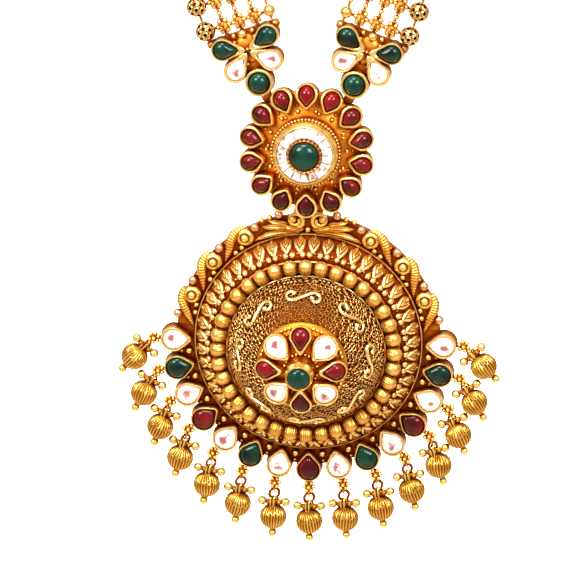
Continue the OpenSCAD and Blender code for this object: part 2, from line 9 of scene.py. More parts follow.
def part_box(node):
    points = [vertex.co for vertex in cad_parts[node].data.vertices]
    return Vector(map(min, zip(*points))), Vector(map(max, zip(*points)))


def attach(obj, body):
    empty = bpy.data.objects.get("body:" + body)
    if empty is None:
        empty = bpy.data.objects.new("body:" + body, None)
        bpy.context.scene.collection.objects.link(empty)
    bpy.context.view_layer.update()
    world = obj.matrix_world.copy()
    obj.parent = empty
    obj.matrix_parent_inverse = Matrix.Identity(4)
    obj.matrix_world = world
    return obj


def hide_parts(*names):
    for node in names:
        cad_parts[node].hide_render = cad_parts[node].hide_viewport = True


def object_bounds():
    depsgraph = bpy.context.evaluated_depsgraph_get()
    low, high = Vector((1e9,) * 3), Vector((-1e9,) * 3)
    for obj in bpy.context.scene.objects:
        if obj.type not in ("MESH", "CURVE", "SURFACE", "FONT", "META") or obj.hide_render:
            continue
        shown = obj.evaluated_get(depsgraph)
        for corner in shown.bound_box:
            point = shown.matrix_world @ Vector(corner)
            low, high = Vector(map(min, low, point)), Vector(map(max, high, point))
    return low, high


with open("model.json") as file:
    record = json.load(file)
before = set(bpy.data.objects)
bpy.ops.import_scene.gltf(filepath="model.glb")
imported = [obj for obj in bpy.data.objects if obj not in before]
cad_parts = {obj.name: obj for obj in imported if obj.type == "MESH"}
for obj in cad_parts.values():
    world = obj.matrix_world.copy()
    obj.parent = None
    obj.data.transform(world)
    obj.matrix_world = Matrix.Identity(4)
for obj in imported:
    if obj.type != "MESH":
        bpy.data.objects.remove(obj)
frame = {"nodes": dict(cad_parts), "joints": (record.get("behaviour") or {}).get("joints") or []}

cad_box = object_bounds()

# Openwork beads down the outer edge of both bands: hollow balls of thirty-two soldered wire rings, so that
# every side shows a hole with holes round it. Silver wire, gilded, strung 5.5 mm apart on a cord.
MM = 0.001
hinge = np.array(frame["joints"][0]["pos_m"]) / MM
hinge_depth, hinge_drop = 3.2, 14.3
rosette_y, rosette_z = hinge[1] - hinge_depth, hinge[2] + hinge_drop
band_lean = 20
band_way = np.array([sin(radians(band_lean)), 0, cos(radians(band_lean))])
connector_x, connector_rise = 12.3, 20.9
band_start = [connector_x, rosette_y - 1.6, rosette_z + connector_rise] + 4.25 * band_way
shoulder = [68, -45, 8]
chest_span = [band_start, band_start + 75 * band_way, [68, -110, 8], shoulder]
nape_span = [shoulder, [68, -12, 8], [42, 1.8, 0], [6.1, 1.8, 0]]


def unit(v):
    """Each vector divided by its length."""
    return v / np.linalg.norm(v, axis=-1, keepdims=True)


def bezier(span, t):
    """Cubic Bezier curve: its four points weighted by (1-t)^3, 3t(1-t)^2, 3t^2(1-t) and t^3."""
    weights = np.stack([(1 - t) ** 3, 3 * t * (1 - t) ** 2, 3 * t ** 2 * (1 - t), t ** 3], -1)
    return weights @ np.array(span, float)


def route(u):
    """Middle line of the right band: its chest curve for u from 0 to 1, its nape curve from 1 to 2."""
    chest = bezier(chest_span, np.minimum(u, 1))
    nape = bezier(nape_span, np.maximum(u - 1, 0))
    return np.where(u[:, None] <= 1, chest, nape)


stations = np.linspace(0, 2, 161)
steps = np.linalg.norm(np.diff(route(stations), axis=0), axis=1)
lengths = np.concatenate([[0], np.cumsum(steps)])


def frames(*columns):
    """4 x 4 matrices, here called places, whose columns are X, Y and Z directions and origins."""
    places = np.tile(np.eye(4), (len(columns[0]), 1, 1))
    places[:, :3] = np.stack(columns, -1)
    return places


def band_places(distance, offset):
    """Frames at distances along the right band, at an offset across it: X across, Y along, Z out of the
    band. Out is level on the chest curve, and on the nape's it turns from up to back, by 90 (3s^2 - 2s^3)
    degrees at s along it."""
    u = np.interp(distance, lengths, stations)
    along = unit(route(np.minimum(u + 0.005, 2)) - route(np.maximum(u - 0.005, 0)))
    s = np.clip(u - 1, 0, 1)
    back = s * s * (3 - 2 * s) * pi / 2
    on_chest = np.stack([0 * u, -along[:, 2], along[:, 1]], -1)
    on_nape = np.stack([0 * u, np.sin(back), np.cos(back)], -1)
    out = np.where(u[:, None] <= 1, on_chest, on_nape)
    out = unit(out - (out * along).sum(-1, keepdims=True) * along)
    across = np.cross(along, out)
    return frames(across, along, out, route(u) + offset * across)


def skin(points, quads, tris, tone):
    """Points with the faces between them, and each point's tone, which its material reads."""
    tones = np.broadcast_to(np.asarray(tone, float), len(points))
    return np.asarray(points, float), np.asarray(quads, int), np.asarray(tris, int), tones


def shell(rings, poles=None, tone=0.0):
    """Skin over rings of points, anticlockwise about the way they follow each other: quads between them, and
    a fan of triangles to each of two poles, by default the middles of the end rings. With poles () the last
    ring meets the first. Tone is one value, or one a ring, or one a point."""
    rings = np.asarray(rings, float)
    count, sides = rings.shape[:2]
    index = np.arange(count * sides).reshape(count, sides)
    poles = (rings[0].mean(0), rings[-1].mean(0)) if poles is None else poles
    low, high = (index[:-1], index[1:]) if poles else (index, np.roll(index, -1, 0))
    quads = np.stack([low, np.roll(low, -1, 1), np.roll(high, -1, 1), high], -1).reshape(-1, 4)
    tone = np.asarray(tone, float)
    tone = np.broadcast_to(tone[:, None] if tone.ndim == 1 else tone, (count, sides))
    points, tones, tris = [rings.reshape(-1, 3)], [tone.ravel()], [np.zeros((0, 3), int)]
    for pole, around, shade in zip(poles, (index[0][::-1], index[-1]), (tone[0], tone[-1])):
        hub = np.full(sides, sum(map(len, points)))
        tris.append(np.stack([hub, around, np.roll(around, -1)], -1))
        points.append(np.array([pole], float))
        tones.append([shade.mean()])
    return skin(np.concatenate(points), quads, np.concatenate(tris), np.concatenate(tones))


def full_turn(count):
    """Angles that part a full turn evenly, in radians from 0."""
    return np.linspace(0, 2 * pi, count, endpoint=False)


def turned(profile, sides, flutes=0, depth=0.0):
    """Profile of (radius, height) or (radius, height, tone) points, from bottom to top on the outside, turned
    about Z and closed on the axis, or on itself if it never meets it. Flutes scale radii by 1 - depth g and
    add g to the tone, where g is (1 - cos(flutes a)) / 2 at the angle a."""
    profile = np.asarray(profile, float)
    a = full_turn(sides)
    body = profile[profile[:, 0] > 1e-9]
    groove = (1 - np.cos(flutes * a)) / 2
    radius = body[:, :1] * (1 - depth * groove)
    rings = np.stack([radius * np.cos(a), radius * np.sin(a), body[:, 1:2] + 0 * a], -1)
    poles = ([0, 0, profile[0, 1]], [0, 0, profile[-1, 1]]) if len(body) < len(profile) else ()
    return shell(rings, poles, body[:, 2:].sum(-1, keepdims=True) + groove)


def ball(radius, sides=10, bands=None):
    """Sphere: a half circle turned about Z, in 0.6 sides + 1.2 bands, rounded down, if none are given."""
    t = np.linspace(-pi / 2, pi / 2, (bands or (3 * sides + 6) // 5) + 1)
    return turned(radius * np.stack([np.cos(t), np.sin(t)], -1), sides)


def ring(radius, wire, sides, wire_sides=6):
    """Round wire bent to a ring: a circle of the wire's radius turned about Z at the ring's radius."""
    t = full_turn(wire_sides)
    return turned(np.stack([radius + wire * np.cos(t), wire * np.sin(t)], -1), sides)


def placed(shape, places, tone=None):
    """The shape at each of the places, or at one, as one skin, in another tone if one is given. Mirroring
    places reverse its faces."""
    points, quads, tris, tones = shape
    places = np.asarray(places, float).reshape(-1, 4, 4)
    if np.linalg.det(places[0, :3, :3]) < 0:
        quads, tris = quads[:, ::-1], tris[:, ::-1]
    here = np.einsum("nij,pj->npi", places[:, :3, :3], points) + places[:, None, :3, 3]
    count_on = (np.arange(len(places)) * len(points))[:, None, None]
    quads, tris = (quads + count_on).reshape(-1, 4), (tris + count_on).reshape(-1, 3)
    return skin(here.reshape(-1, 3), quads, tris, np.tile(tones, len(places)) if tone is None else tone)


def on_bands(shape, distance, offset):
    """The shape at distances along both bands, at an offset across them. The left band's places are the
    right one's mirror images, whose own X is turned round as well."""
    places = band_places(distance, offset)
    images = places * np.outer([-1, 1, 1, 1], [-1, 1, 1, 1])
    return placed(shape, np.concatenate([places, images]))


def joined(*shapes):
    """Several skins as one, each one's faces counted on past the points before it."""
    points, quads, tris, tones = zip(*shapes)
    starts = np.cumsum([0, *map(len, points[:-1])])
    counted = [np.concatenate([f + n for f, n in zip(faces, starts)]) for faces in (quads, tris)]
    return skin(np.concatenate(points), *counted, np.concatenate(tones))


def shift(x=0.0, y=0.0, z=0.0):
    """Place shifted by x, y and z."""
    place = np.eye(4)
    place[:3, 3] = x, y, z
    return place


def turn(axis, degrees):
    """Place turned about the X, Y or Z axis by the right-hand rule."""
    i = "XYZ".index(axis)
    j, k = (i + 1) % 3, (i + 2) % 3
    c, s = cos(radians(degrees)), sin(radians(degrees))
    place = np.eye(4)
    place[j, j], place[j, k], place[k, j], place[k, k] = c, -s, s, c
    return place


def linear(hex_colour):
    """sRGB hex colour as linear light: below 0.04045 divided by 12.92, else ((c + 0.055) / 1.055)^2.4."""
    c = np.array([int(hex_colour[i:i + 2], 16) for i in (1, 3, 5)]) / 255
    light = np.where(c <= 0.04045, c / 12.92, ((c + 0.055) / 1.055) ** 2.4)
    return (*light.tolist(), 1.0)


def add(tree, kind, inputs=(), stops=(), out=0, **settings):
    """Adds a shader node with its settings and gives back its output. Each input is set to a value or fed
    by another node's output, and stops are a colour ramp's places and hex colours."""
    made = tree.nodes.new("ShaderNode" + kind)
    for name, value in settings.items():
        setattr(made, name, value)
    for name, value in dict(inputs).items():
        if isinstance(value, bpy.types.NodeSocket):
            tree.links.new(value, made.inputs[name])
        else:
            made.inputs[name].default_value = value
    for i, (at, colour) in enumerate(stops):
        stop = made.color_ramp.elements[i] if i < 2 else made.color_ramp.elements.new(at)
        stop.position, stop.color = at, linear(colour)
    return made.outputs[out]


def finish_of(name, links, **values):
    """New material: makes its nodes by calling links(tree, object coordinates), which gives what feeds the
    shader's linked inputs, and sets other inputs of the shader to the values."""
    made = bpy.data.materials.new(name)
    made.use_nodes = True
    tree = made.node_tree
    surface = tree.nodes["Principled BSDF"]
    for socket, output in links(tree, add(tree, "TexCoord", out="Object")).items():
        tree.links.new(output, surface.inputs[socket])
    for socket, value in values.items():
        surface.inputs[socket.replace("_", " ")].default_value = value
    return made


def gilding(name, ground, middle, bright, roughness, reach=1.4, grain=0.3):
    """Antique gilding: silver, gilded, dipped in oxide and rubbed, so recesses keep the ground colour and
    what stands proud is bright; ambient occlusion darkens every recess further towards the ground colour, as
    painted shade.
    Reach is how deep a recess has to be in mm for that painted shade, roughness a hand polish's, and grain
    the casting skin's in mm, drawn twice as coarse as the real one to show. A point's tone adds oxide from 0
    to 1, or takes it away below 0; on some pieces it also adds painted shade towards the bottom."""

    def nodes(tree, place):
        shade = add(tree, "AmbientOcclusion", {"Distance": reach * MM}, out="AO", samples=4)
        blotch = add(tree, "TexNoise", {"Vector": place, "Scale": 1 / (2.4 * MM), "Detail": 3})
        oxide = add(tree, "Attribute", out="Fac", attribute_name="tone")
        # Painted shade: the ambient occlusion darkens recesses; the noise blotch adds random wear.
        wear_and_shade = add(tree, "Math", {0: blotch, 1: 0.5, 2: shade}, operation="MULTIPLY_ADD")
        height = add(tree, "Math", {0: oxide, 1: -0.75, 2: wear_and_shade}, operation="MULTIPLY_ADD")
        level = add(tree, "MapRange", {"Value": height, "From Min": 0.5, "From Max": 1.35})
        colour = add(tree, "ValToRGB", {"Fac": level}, ((0.0, ground), (1.0, bright), (0.55, middle)))
        rough = add(tree, "MapRange", {"Value": level, "To Min": roughness + 0.2, "To Max": roughness})
        grit = add(tree, "TexNoise", {"Vector": place, "Scale": 1 / (grain * MM), "Detail": 2})
        relief = add(tree, "Bump", {"Height": grit, "Strength": 0.3, "Distance": 0.05 * MM})
        return {"Base Color": colour, "Roughness": rough, "Normal": relief}

    return finish_of(name, nodes, Metallic=1.0)


def piece(name, shape, body, material, nodes=(), crease=38):
    """Makes a mesh object of a skin, smooth but for creases sharper than the given angle, gives it to its
    body, and hides the CAD nodes that it stands for."""
    points, quads, tris, tone = shape
    mesh = bpy.data.meshes.new(name)
    mesh.from_pydata((points * MM).tolist(), [], quads.tolist() + tris.tolist())
    mesh.shade_smooth()
    mesh.set_sharp_from_angle(angle=radians(crease))
    mesh.attributes.new("tone", "FLOAT", "POINT").data.foreach_set("value", tone)
    mesh.materials.append(material)
    made = bpy.data.objects.new(name, mesh)
    bpy.context.scene.collection.objects.link(made)
    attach(made, body)
    if nodes:
        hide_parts(*nodes)


row_count = 55
first_row, last_gap = 2.05, 2.3
row_pitch = (lengths[-1] - first_row - last_gap) / (row_count - 1)
rows = first_row + row_pitch * np.arange(row_count)
between_rows = rows[:-1] + row_pitch / 2
outer_offset = 7.1
bead_r, bead_wire, bead_granule_r = 2.1, 0.17, 0.22
hole_r = 0.53
hole_lift = np.sqrt((bead_r - bead_wire) ** 2 - hole_r ** 2)
granule_place = shift(y=0.68, z=bead_r - bead_granule_r)
hole_rows = [(37.38, 36), (63.43, 0), (79.19, 36), (100.81, 0), (116.57, 36), (142.62, 0)]
holes = [(0, 0), (180, 0)] + [(down, turned_by + 72 * k) for down, turned_by in hole_rows for k in range(5)]
faces = [turn("Y", around) @ turn("X", down - 90) for down, around in holes]
bead = joined(
    placed(ring(hole_r, bead_wire, 6, 3), [face @ shift(z=hole_lift) for face in faces]),
    placed(ball(bead_granule_r, 4, 2), [face @ granule_place for face in faces[2:]]),
)
bead_gold = gilding("gilded_bead_wire", "#7a3006", "#d08a2c", "#ffe4a0", 0.26, 0.9)
# Near-black gilding that paints the shade inside the hollow beads, behind their holes, and in the gaps of the
# dome's net.
shade_inside = gilding("painted_shade_inside", "#1a0702", "#4d1f06", "#7a400f", 0.45, 0.9)
piece("openwork_beads", on_bands(bead, rows, outer_offset), "chain", bead_gold, ["outer_beads"])
# A dark ball in each bead stands for the shade seen through its holes.
piece("openwork_shade_cores", on_bands(ball(1.72, 10, 6), rows, outer_offset), "chain", shade_inside)

# The cord through the openwork beads: waxed gold-brown silk. Only its short lengths between beads show.
cord_lay = 0.9


def twist(tree, place):
    """Twisted yarn: diagonal waves a lay apart, dark between the yarns, with a bump to match."""
    wave = add(tree, "TexWave", {"Vector": place, "Scale": 1 / (3.1 * cord_lay * MM)}, out="Fac",
               bands_direction="DIAGONAL")
    colour = add(tree, "ValToRGB", {"Fac": wave}, ((0.2, "#6b3a12"), (0.9, "#b07a2c")))
    return {"Base Color": colour, "Normal": add(tree, "Bump", {"Height": wave, "Distance": 0.08 * MM})}


waxed_cord = finish_of("waxed_silk_cord", twist, Roughness=0.7)
for slot_of_cord in frame["nodes"]["outer_thread"].material_slots:
    slot_of_cord.material = waxed_cord

# Three columns of star beads: clusters of soldered granules, strung on wire with a coil at each end of
# a bead and one round granule between two beads.
star_offsets = {1: -3.6, 2: -0.2, 3: 3.1}
star_gold = gilding("gilded_granules", "#7a2e05", "#cc8222", "#ffe08c", 0.28, 0.9)


def toned(shape, tone):
    """The shape with another tone all over, or another one at each point."""
    return skin(*shape[:3], tone)


star_bead = joined(
    toned(ball(1.16, 9), 0.25),
    placed(placed(ball(0.66, 8), np.diag([0.92, 1.05, 1.1, 1])),
           [turn("Z", 60 * k + 30) @ shift(y=1.12) for k in range(6)]),
    placed(ball(0.42, 6), [turn("Z", 120 * k) @ shift(y=0.5, z=z) for k in range(3) for z in (-1.0, 1.0)]),
    placed(ring(0.4, 0.17, 7, 4), [shift(y=y) @ turn("X", 90) for y in (-1.8, 1.8)]),
)
knot = ball(0.6, 8)
for i, offset in star_offsets.items():
    stars = joined(on_bands(star_bead, rows, offset), on_bands(knot, between_rows, offset))
    piece(f"star_beads_{i}", stars, "chain", star_gold, [f"star_strand_{i}"])

# Plain hollow balls down the inner edge, one to a row, of thin polished sheet, with a collar of wire
# round each of their holes.
inner_offset = -6.9
polished_gold = gilding("gilded_polished_ball", "#8a3c0c", "#d08c2a", "#fbdc86", 0.24)
hole_collars = placed(ring(0.34, 0.13, 8, 5), [shift(y=y) @ turn("X", 90) for y in (-1.18, 1.18)])
edge_balls = on_bands(joined(ball(1.25, 14), hole_collars), rows, inner_offset)
piece("inner_balls", joined(edge_balls, on_bands(knot, between_rows, inner_offset)), "chain", polished_gold,
      ["inner_strand"])

# Stringing wires: drawn wire down each column and across each row, which keeps the beads of a row side
# by side. They were never rubbed bright.
drawn_wire = gilding("oxidised_stringing_wire", "#5a2406", "#9a5214", "#c98a35", 0.35, 0.8)
mirror = np.diag([-1.0, 1, 1, 1])


def mirrored(shape):
    """The shape together with its mirror image in the plane x = 0."""
    return joined(shape, placed(shape, mirror))


def tube(path, radius, sides, up=(0, 0, 1)):
    """Round wire: a circle of the radius, square to the path at each of its points and closed by a pole at
    each end. The radius may change along the path, and the path never runs along up."""
    path = np.asarray(path, float)
    along = unit(np.gradient(path, axis=0))
    side = unit(np.cross(up, along))
    over = np.cross(along, side)
    a = full_turn(sides)[:, None]
    spokes = np.cos(a) * side[:, None] + np.sin(a) * over[:, None]
    radii = np.broadcast_to(np.asarray(radius, float), len(path))[:, None, None]
    return shell(path[:, None] + radii * spokes, (path[0], path[-1]))


wire_stations = np.linspace(0.2, lengths[-1] - 0.2, 2 * row_count)
strand_wires = [tube(band_places(wire_stations, offset)[:, :3, 3], 0.27, 5, [0.31, 0.87, 0.37])
                for offset in (inner_offset, *star_offsets.values())]
cross_wire = tube([(x, 0, 0) for x in np.linspace(inner_offset, outer_offset, 4)], 0.3, 6)
wires = joined(*strand_wires, placed(cross_wire, band_places(rows, 0)))
piece("stringing_wires", mirrored(wires), "chain", drawn_wire)

# Clasp at the nape, which the photograph leaves out: a plain cast box with softened edges and a raised
# frame on both faces, that the strands run into.
clasp_low, clasp_high = (np.array(corner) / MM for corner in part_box("clasp"))
clasp_width, clasp_thickness, clasp_height = clasp_high - clasp_low
satin_gold = gilding("gilded_satin_casting", "#7a360a", "#c8842a", "#eec468", 0.36)


def stacked(outlines, heights, tone=0.0, top=(0, 0)):
    """Closed skin over flat outlines laid at heights, from bottom to top on the outside. Its bottom pole is
    at the origin's x and y, and its top one at top."""
    heights = np.asarray(heights, float)
    lift = np.broadcast_to(heights[:, None, None], (*outlines.shape[:2], 1))
    return shell(np.concatenate([outlines, lift], -1), ([0, 0, heights[0]], [*top, heights[-1]]), tone)


def lofted(outline, profile):
    """Outline about the origin, scaled and lifted: layer j is the outline times scale_j at height z_j."""
    profile = np.asarray(profile, float)
    return stacked(outline * profile[:, None, :1], profile[:, 1])


def rounded(width, length, corner, count=32):
    """Rectangle about the origin with round corners, anticlockwise: quarter circles about the four corner
    points of the rectangle drawn in by the corner's radius."""
    t = full_turn(count) + pi / count
    arc = np.stack([np.cos(t), np.sin(t)], -1)
    return np.sign(arc) * (np.array([width, length]) / 2 - corner) + corner * arc


clasp_edge = [(0.9, 0.35), (0.93, 0.05), (0.97, 0), (1, 0.3)]
clasp_layers = clasp_edge + [(scale, clasp_thickness - z) for scale, z in clasp_edge[::-1]]
clasp_place = shift(y=clasp_high[1], z=(clasp_low[2] + clasp_high[2]) / 2) @ turn("X", 90)
clasp = placed(lofted(rounded(clasp_width, clasp_height, 1.5, 48), clasp_layers), clasp_place)
piece("clasp_box", clasp, "chain", satin_gold, ["clasp"])

# Connectors between the bands and the rosette: cast plates with four pear collets and a round one, an
# end bar that the strands are caught in, and a tab whose washer turns on a stud behind the rosette.
at_rosette = shift(0, rosette_y, rosette_z) @ turn("X", 90)
at_connector = at_rosette @ shift(connector_x, connector_rise) @ turn("Z", -band_lean)
round_r, round_drop = 2.95, 7.1
stud_drop = 12.6
plate_t = 1.2
bezel_h = 3.3
pocket_z = 1.4


def polar(angle, radius, height=0.0):
    """Place clockwise from the top by an angle in degrees, at a radius and a height, with Y outwards."""
    return turn("Z", -angle) @ shift(y=radius, z=height)


def teardrop(r, tip, count=44):
    """Outline of a circle of radius r with a point at the distance tip down -Y, anticlockwise from there:
    r / cos(b - d) at an angle d from -Y below b, where the straight side touches the circle, and r beyond
    it. A running mean over three points rounds the point."""
    from_tip = full_turn(count)
    d = np.minimum(from_tip, 2 * pi - from_tip)
    touch = pi / 2 - asin(min(1, r / tip))
    rho = np.where(d < touch, r / np.cos(np.maximum(touch - d, 0)), r)
    rho = (np.roll(rho, 1) + 2 * rho + np.roll(rho, -1)) / 4
    return rho[:, None] * np.stack([np.sin(from_tip), -np.cos(from_tip)], -1)


def pear(r, tip, wide, long):
    """Outlines of a pear's collet and of its opening, whose r and tip are wide and long times as large."""
    return teardrop(r, tip), teardrop(wide * r, long * tip)


def collet(outline, opening, height, floor=pocket_z, foot=0.06):
    """Cup of sheet bent round a stone, in layers that lie a share of the way from its outline to the opening:
    spread at the foot, where oxide stays, then straight, and its rim rubbed over to a soft thick fold."""
    share, heights, tone = np.array([
        (-0.2, foot, 1), (-0.22, foot + 0.35, 1), (-0.02, foot + 0.6, 0.8), (0.03, height - 0.8, 0.3),
        (0.0, height - 0.45, 0), (0.1, height - 0.15, -0.2), (0.33, height, -0.5), (0.62, height, -0.5),
        (0.86, height - 0.2, -0.2), (0.98, height - 0.5, 0.7), (1.0, floor, 1),
    ]).T
    return stacked(outline + share[:, None, None] * (opening - outline), heights, tone)


def slab(size, low, high, edge, middle, tone):
    """Plate of a width, a length and a corner radius about a middle, between two heights, its edges eased
    over an edge's width."""
    outline = rounded(*size)
    small = 1 - edge / np.abs(outline).max()
    layers = [(small, low), (1, low + edge), (1, high - edge), (small, high)]
    return placed(lofted(outline, layers), shift(*middle), tone)


petal, petal_opening = pear(2.4, 5.5, 0.76, 0.62)
petal_places = [polar(a, 5.25) for a in (70.5, -70.5, 130.5, -130.5)]
round_cup = teardrop(round_r, round_r)
round_opening = 0.72 * round_cup
connector_gold = gilding("gilded_connector_casting", "#8a380a", "#d8902c", "#ffe698", 0.28)
washer = [(0.65, -1.0), (1.15, -1.0), (1.22, -0.9), (1.22, -0.25), (1.15, -0.15), (0.65, -0.15)]
connector_body = joined(
    placed(collet(petal, petal_opening, bezel_h), petal_places),
    placed(collet(round_cup, round_opening, bezel_h + 0.4), shift(y=-round_drop)),
    toned(turned([(0, 0), (3.1, 0), (3.2, 0.2), (3.2, 1.0), (3.0, 1.25), (2.0, 1.7), (0, 1.9)], 40), 0.2),
    slab((3.2, 7.1, 0.4), 0.03, plate_t, 0.15, (0, -3.55), 0.3),
    slab((15.9, 1.75, 0.7), 0.1, 1.1, 0.25, (-0.05, 3.275), 0.3),
    placed(ball(0.62), [shift(x, 3.5, 1.35) for x in (-7.1, -5.6, -2.1, 2.0, 5.4, 6.9)]),
    slab((2.2, 3.5, 0.3), -1.0, 0.3, 0.12, (0, -8.25), 0.4),
    slab((2.3, 3.4, 0.4), -1.0, -0.15, 0.12, (0, -10.0), 0.4),
    placed(turned(washer, 24), shift(y=-stud_drop), 0.4),
    placed(ball(0.9, 14), shift(0, 3.6, 2.2)),
    placed(ball(0.5), [shift(0, 0.1, 2.2), shift(-1.15, -2.9, 1.6), shift(1.15, -2.9, 1.6),
                       shift(-2.2, 2.2, 1.9), shift(2.2, 2.2, 1.9)]),
)
connector_sides = {"right": at_connector, "left": mirror @ at_connector}
for side, place in connector_sides.items():
    piece(f"connector_plate_{side}", placed(connector_body, place), "chain", connector_gold,
          [f"connector_{side}"])

# Stones of the connectors: green glass cabochons and flat-cut clear stones over foil, each held by the
# rim of its collet.
stone_low = pocket_z + 0.05


def cabochon(outline, low, girdle, top):
    """Polished dome: straight to the girdle, then scaled by cos(t) and raised by sin(t)^0.9."""
    t = radians(90) * np.linspace(0, 0.93, 7)
    dome = np.stack([np.cos(t), girdle + (top - girdle) * np.sin(t) ** 0.9], -1)
    return lofted(outline, np.concatenate([[(1, low)], dome, [(0.05, top)]]))


def flat_cut(outline, low, girdle, top):
    """Flat cut stone: a girdle, a ring of crown facets and a slightly domed table. Its tone rises from its
    edge to 1 over the culet, a little off the middle."""
    layers = np.array([(1, low, -0.45), (1, girdle, -0.45), (0.8, 0.55 * top + 0.45 * girdle, -0.1),
                       (0.6, top, 0.1), (0.36, top + 0.04, 0.6), (0.16, top + 0.05, 1.0)])
    outlines = outline * layers[:, None, :1]
    outlines[3:] += 0.1 * np.abs(outline).max() * np.array([0.4, 0.8, 1.0])[:, None, None]
    return stacked(outlines, layers[:, 1], layers[:, 2], outlines[-1].mean(0))


def stone_glass(name, deep, body, patch=3.5):
    """Foiled glass, pressed and fire-polished: light comes back unevenly off the foil, so the colour
    drifts from deep to body over a patch in mm. Its tone pulls it towards deep, all over at a tone of 1; on
    the lower halves of some stones that tone is painted shade."""

    def nodes(tree, place):
        cloud = add(tree, "TexNoise", {"Vector": place, "Scale": 1 / (patch * MM), "Detail": 2})
        foil = add(tree, "Attribute", out="Fac", attribute_name="tone")
        light = add(tree, "Math", {0: foil, 1: -0.3, 2: cloud}, operation="MULTIPLY_ADD")
        return {"Base Color": add(tree, "ValToRGB", {"Fac": light}, ((0.3, deep), (0.6, body)))}

    return finish_of(name, nodes, Roughness=0.07, Specular_IOR_Level=0.3)


def foiled(tree, place):
    """Uncut clear stone: white where the foil mirrors the room, cream at its edge, and with a ragged rosy
    spot over the culet, where the foil mirrors the skin of its cup."""
    culet = add(tree, "Attribute", out="Fac", attribute_name="tone")
    ragged = add(tree, "TexNoise", {"Vector": place, "Scale": 1 / (1.3 * MM), "Detail": 2})
    spot = add(tree, "Math", {0: ragged, 1: 2.4, 2: culet}, operation="MULTIPLY_ADD")
    level = add(tree, "MapRange", {"Value": spot, "From Min": 0.6, "From Max": 2.6})
    return {"Base Color": add(tree, "ValToRGB", {"Fac": level}, (
        (0.03, "#e9d3b4"), (0.8, "#99585c"), (0.2, "#fbf7f0"), (0.54, "#fbf4ee"), (0.65, "#d3a19c")))}


green_glass = stone_glass("emerald_green_foiled_glass", "#000d0b", "#05392c")
clear_stone = finish_of("foiled_flat_cut_clear_stone", foiled, Roughness=0.1, IOR=1.6)
petal_cab = cabochon(petal_opening, stone_low, bezel_h - 0.6, 3.95)
petal_flat = flat_cut(petal_opening[::3], stone_low, bezel_h - 0.5, 3.1)
round_cab = cabochon(round_opening, stone_low, bezel_h - 0.2, 4.75)
for side, place in connector_sides.items():
    greens, clears = place @ petal_places[:2], place @ petal_places[2:]
    piece(f"green_petals_{side}", placed(petal_cab, greens), "chain", green_glass,
          [f"{side}_green_1", f"{side}_green_2"])
    piece(f"clear_petals_{side}", placed(petal_flat, clears), "chain", clear_stone,
          [f"{side}_clear_1", f"{side}_clear_2"], 12)
    piece(f"green_round_{side}", placed(round_cab, place @ shift(y=-round_drop)), "chain", green_glass,
          [f"{side}_round_green"])

# Rosette: a round cast plate with fourteen pear collets, granules between their points, and a raised
# collar with a beaded edge. The pendant's hinge lugs and the connectors' studs are on its back.
ruby_count = 14
ruby_angles = np.arange(ruby_count) * 360 / ruby_count
between_rubies = (np.arange(ruby_count) + 0.5) * 360 / ruby_count
ruby_places = [polar(a, 11.4, 0.35) @ turn("X", -12) for a in ruby_angles]
ruby_pear, ruby_opening = pear(2.4, 3.4, 0.74, 0.78)
ruby_opening = ruby_opening * [0.86, 1]
centre_rise = 1.9
collar = np.array([
    (0, 0.5, 0.6), (7.3, 0.5, 0.6), (7.3, 2.75, 0.5), (7.15, 3.05, 0.3), (6.92, 3.12, 0.4), (6.86, 3.45, 0),
    (6.78, 4.2, -0.25), (6.5, 4.95, -0.35), (6.22, 5.25, -0.3), (6.14, 5.45, 0.3), (6.12, 5.7, -0.3),
    (6.0, 5.8, -0.5), (5.9, 5.7, -0.2), (5.86, 5.45, 0.3), (5.85, 4.62, 0.7), (3.6, 5.2, 0.7), (0, 5.25, 0.7),
])
collar[2:, 1] += centre_rise
centre_collet = [(0, 4.9), (3.66, 4.9), (3.74, 5.2), (3.64, 5.5), (3.62, 6.4), (3.6, 6.85), (3.42, 7.05),
                 (3.2, 6.95), (3.08, 6.6), (3.05, 5.9), (0, 5.9)]
ground = [(0, 0, 0.75), (12.2, 0, 0.75), (12.4, 0.2, 0.6), (12.4, 0.9, 0.5), (12.1, plate_t, 0.35),
          (10, 1.55, 0.3), (8.6, 1.95, 0.2), (7.4, 2.6, 0.35), (0, 2.6, 0.35)]
hinge_x = 2.45
lug_centre = np.array([-0.1, 2.9])
lug_arc = radians(1) * np.arange(195, 391, 15)
lug_side = np.concatenate([
    [(1.0, 0.57), (0.9, 2.6), (3.3, 3.6), (3.3, 6.4), (-1.15, 3.2), (-1.15, 0)],
    1.15 * np.stack([np.cos(lug_arc), np.sin(lug_arc)], -1)[:-1],
])
side_on = np.eye(4)[[2, 1, 0, 3]]
lug = lofted(lug_side - lug_centre, [(0.95, -0.5), (1, -0.42), (1, 0.42), (0.95, 0.5)])
lug = placed(lug, shift(*lug_centre))
pin_end = [(0, 3.15), (0.5, 3.12), (0.8, 2.98), (0.6, 2.9)]
pin = turned([(r, -z) for r, z in pin_end] + pin_end[::-1], 20)
stud = turned([(0, -1.55), (0.9, -1.55), (1.0, -1.45), (1.0, -1.15), (0.5, -1.1), (0.5, 0.45), (0, 0.45)], 20)
stud_x, stud_y = connector_x - stud_drop * band_way[0], connector_rise - stud_drop * band_way[2]
at_hinge = shift(0, -hinge_drop, -hinge_depth)


def granules(radius, angles, ring_r, height, tone=0.0, sides=10):
    """Balls at angles clockwise from the top, on a ring at a height."""
    return placed(ball(radius, sides), [polar(a, ring_r, height) for a in angles], tone)


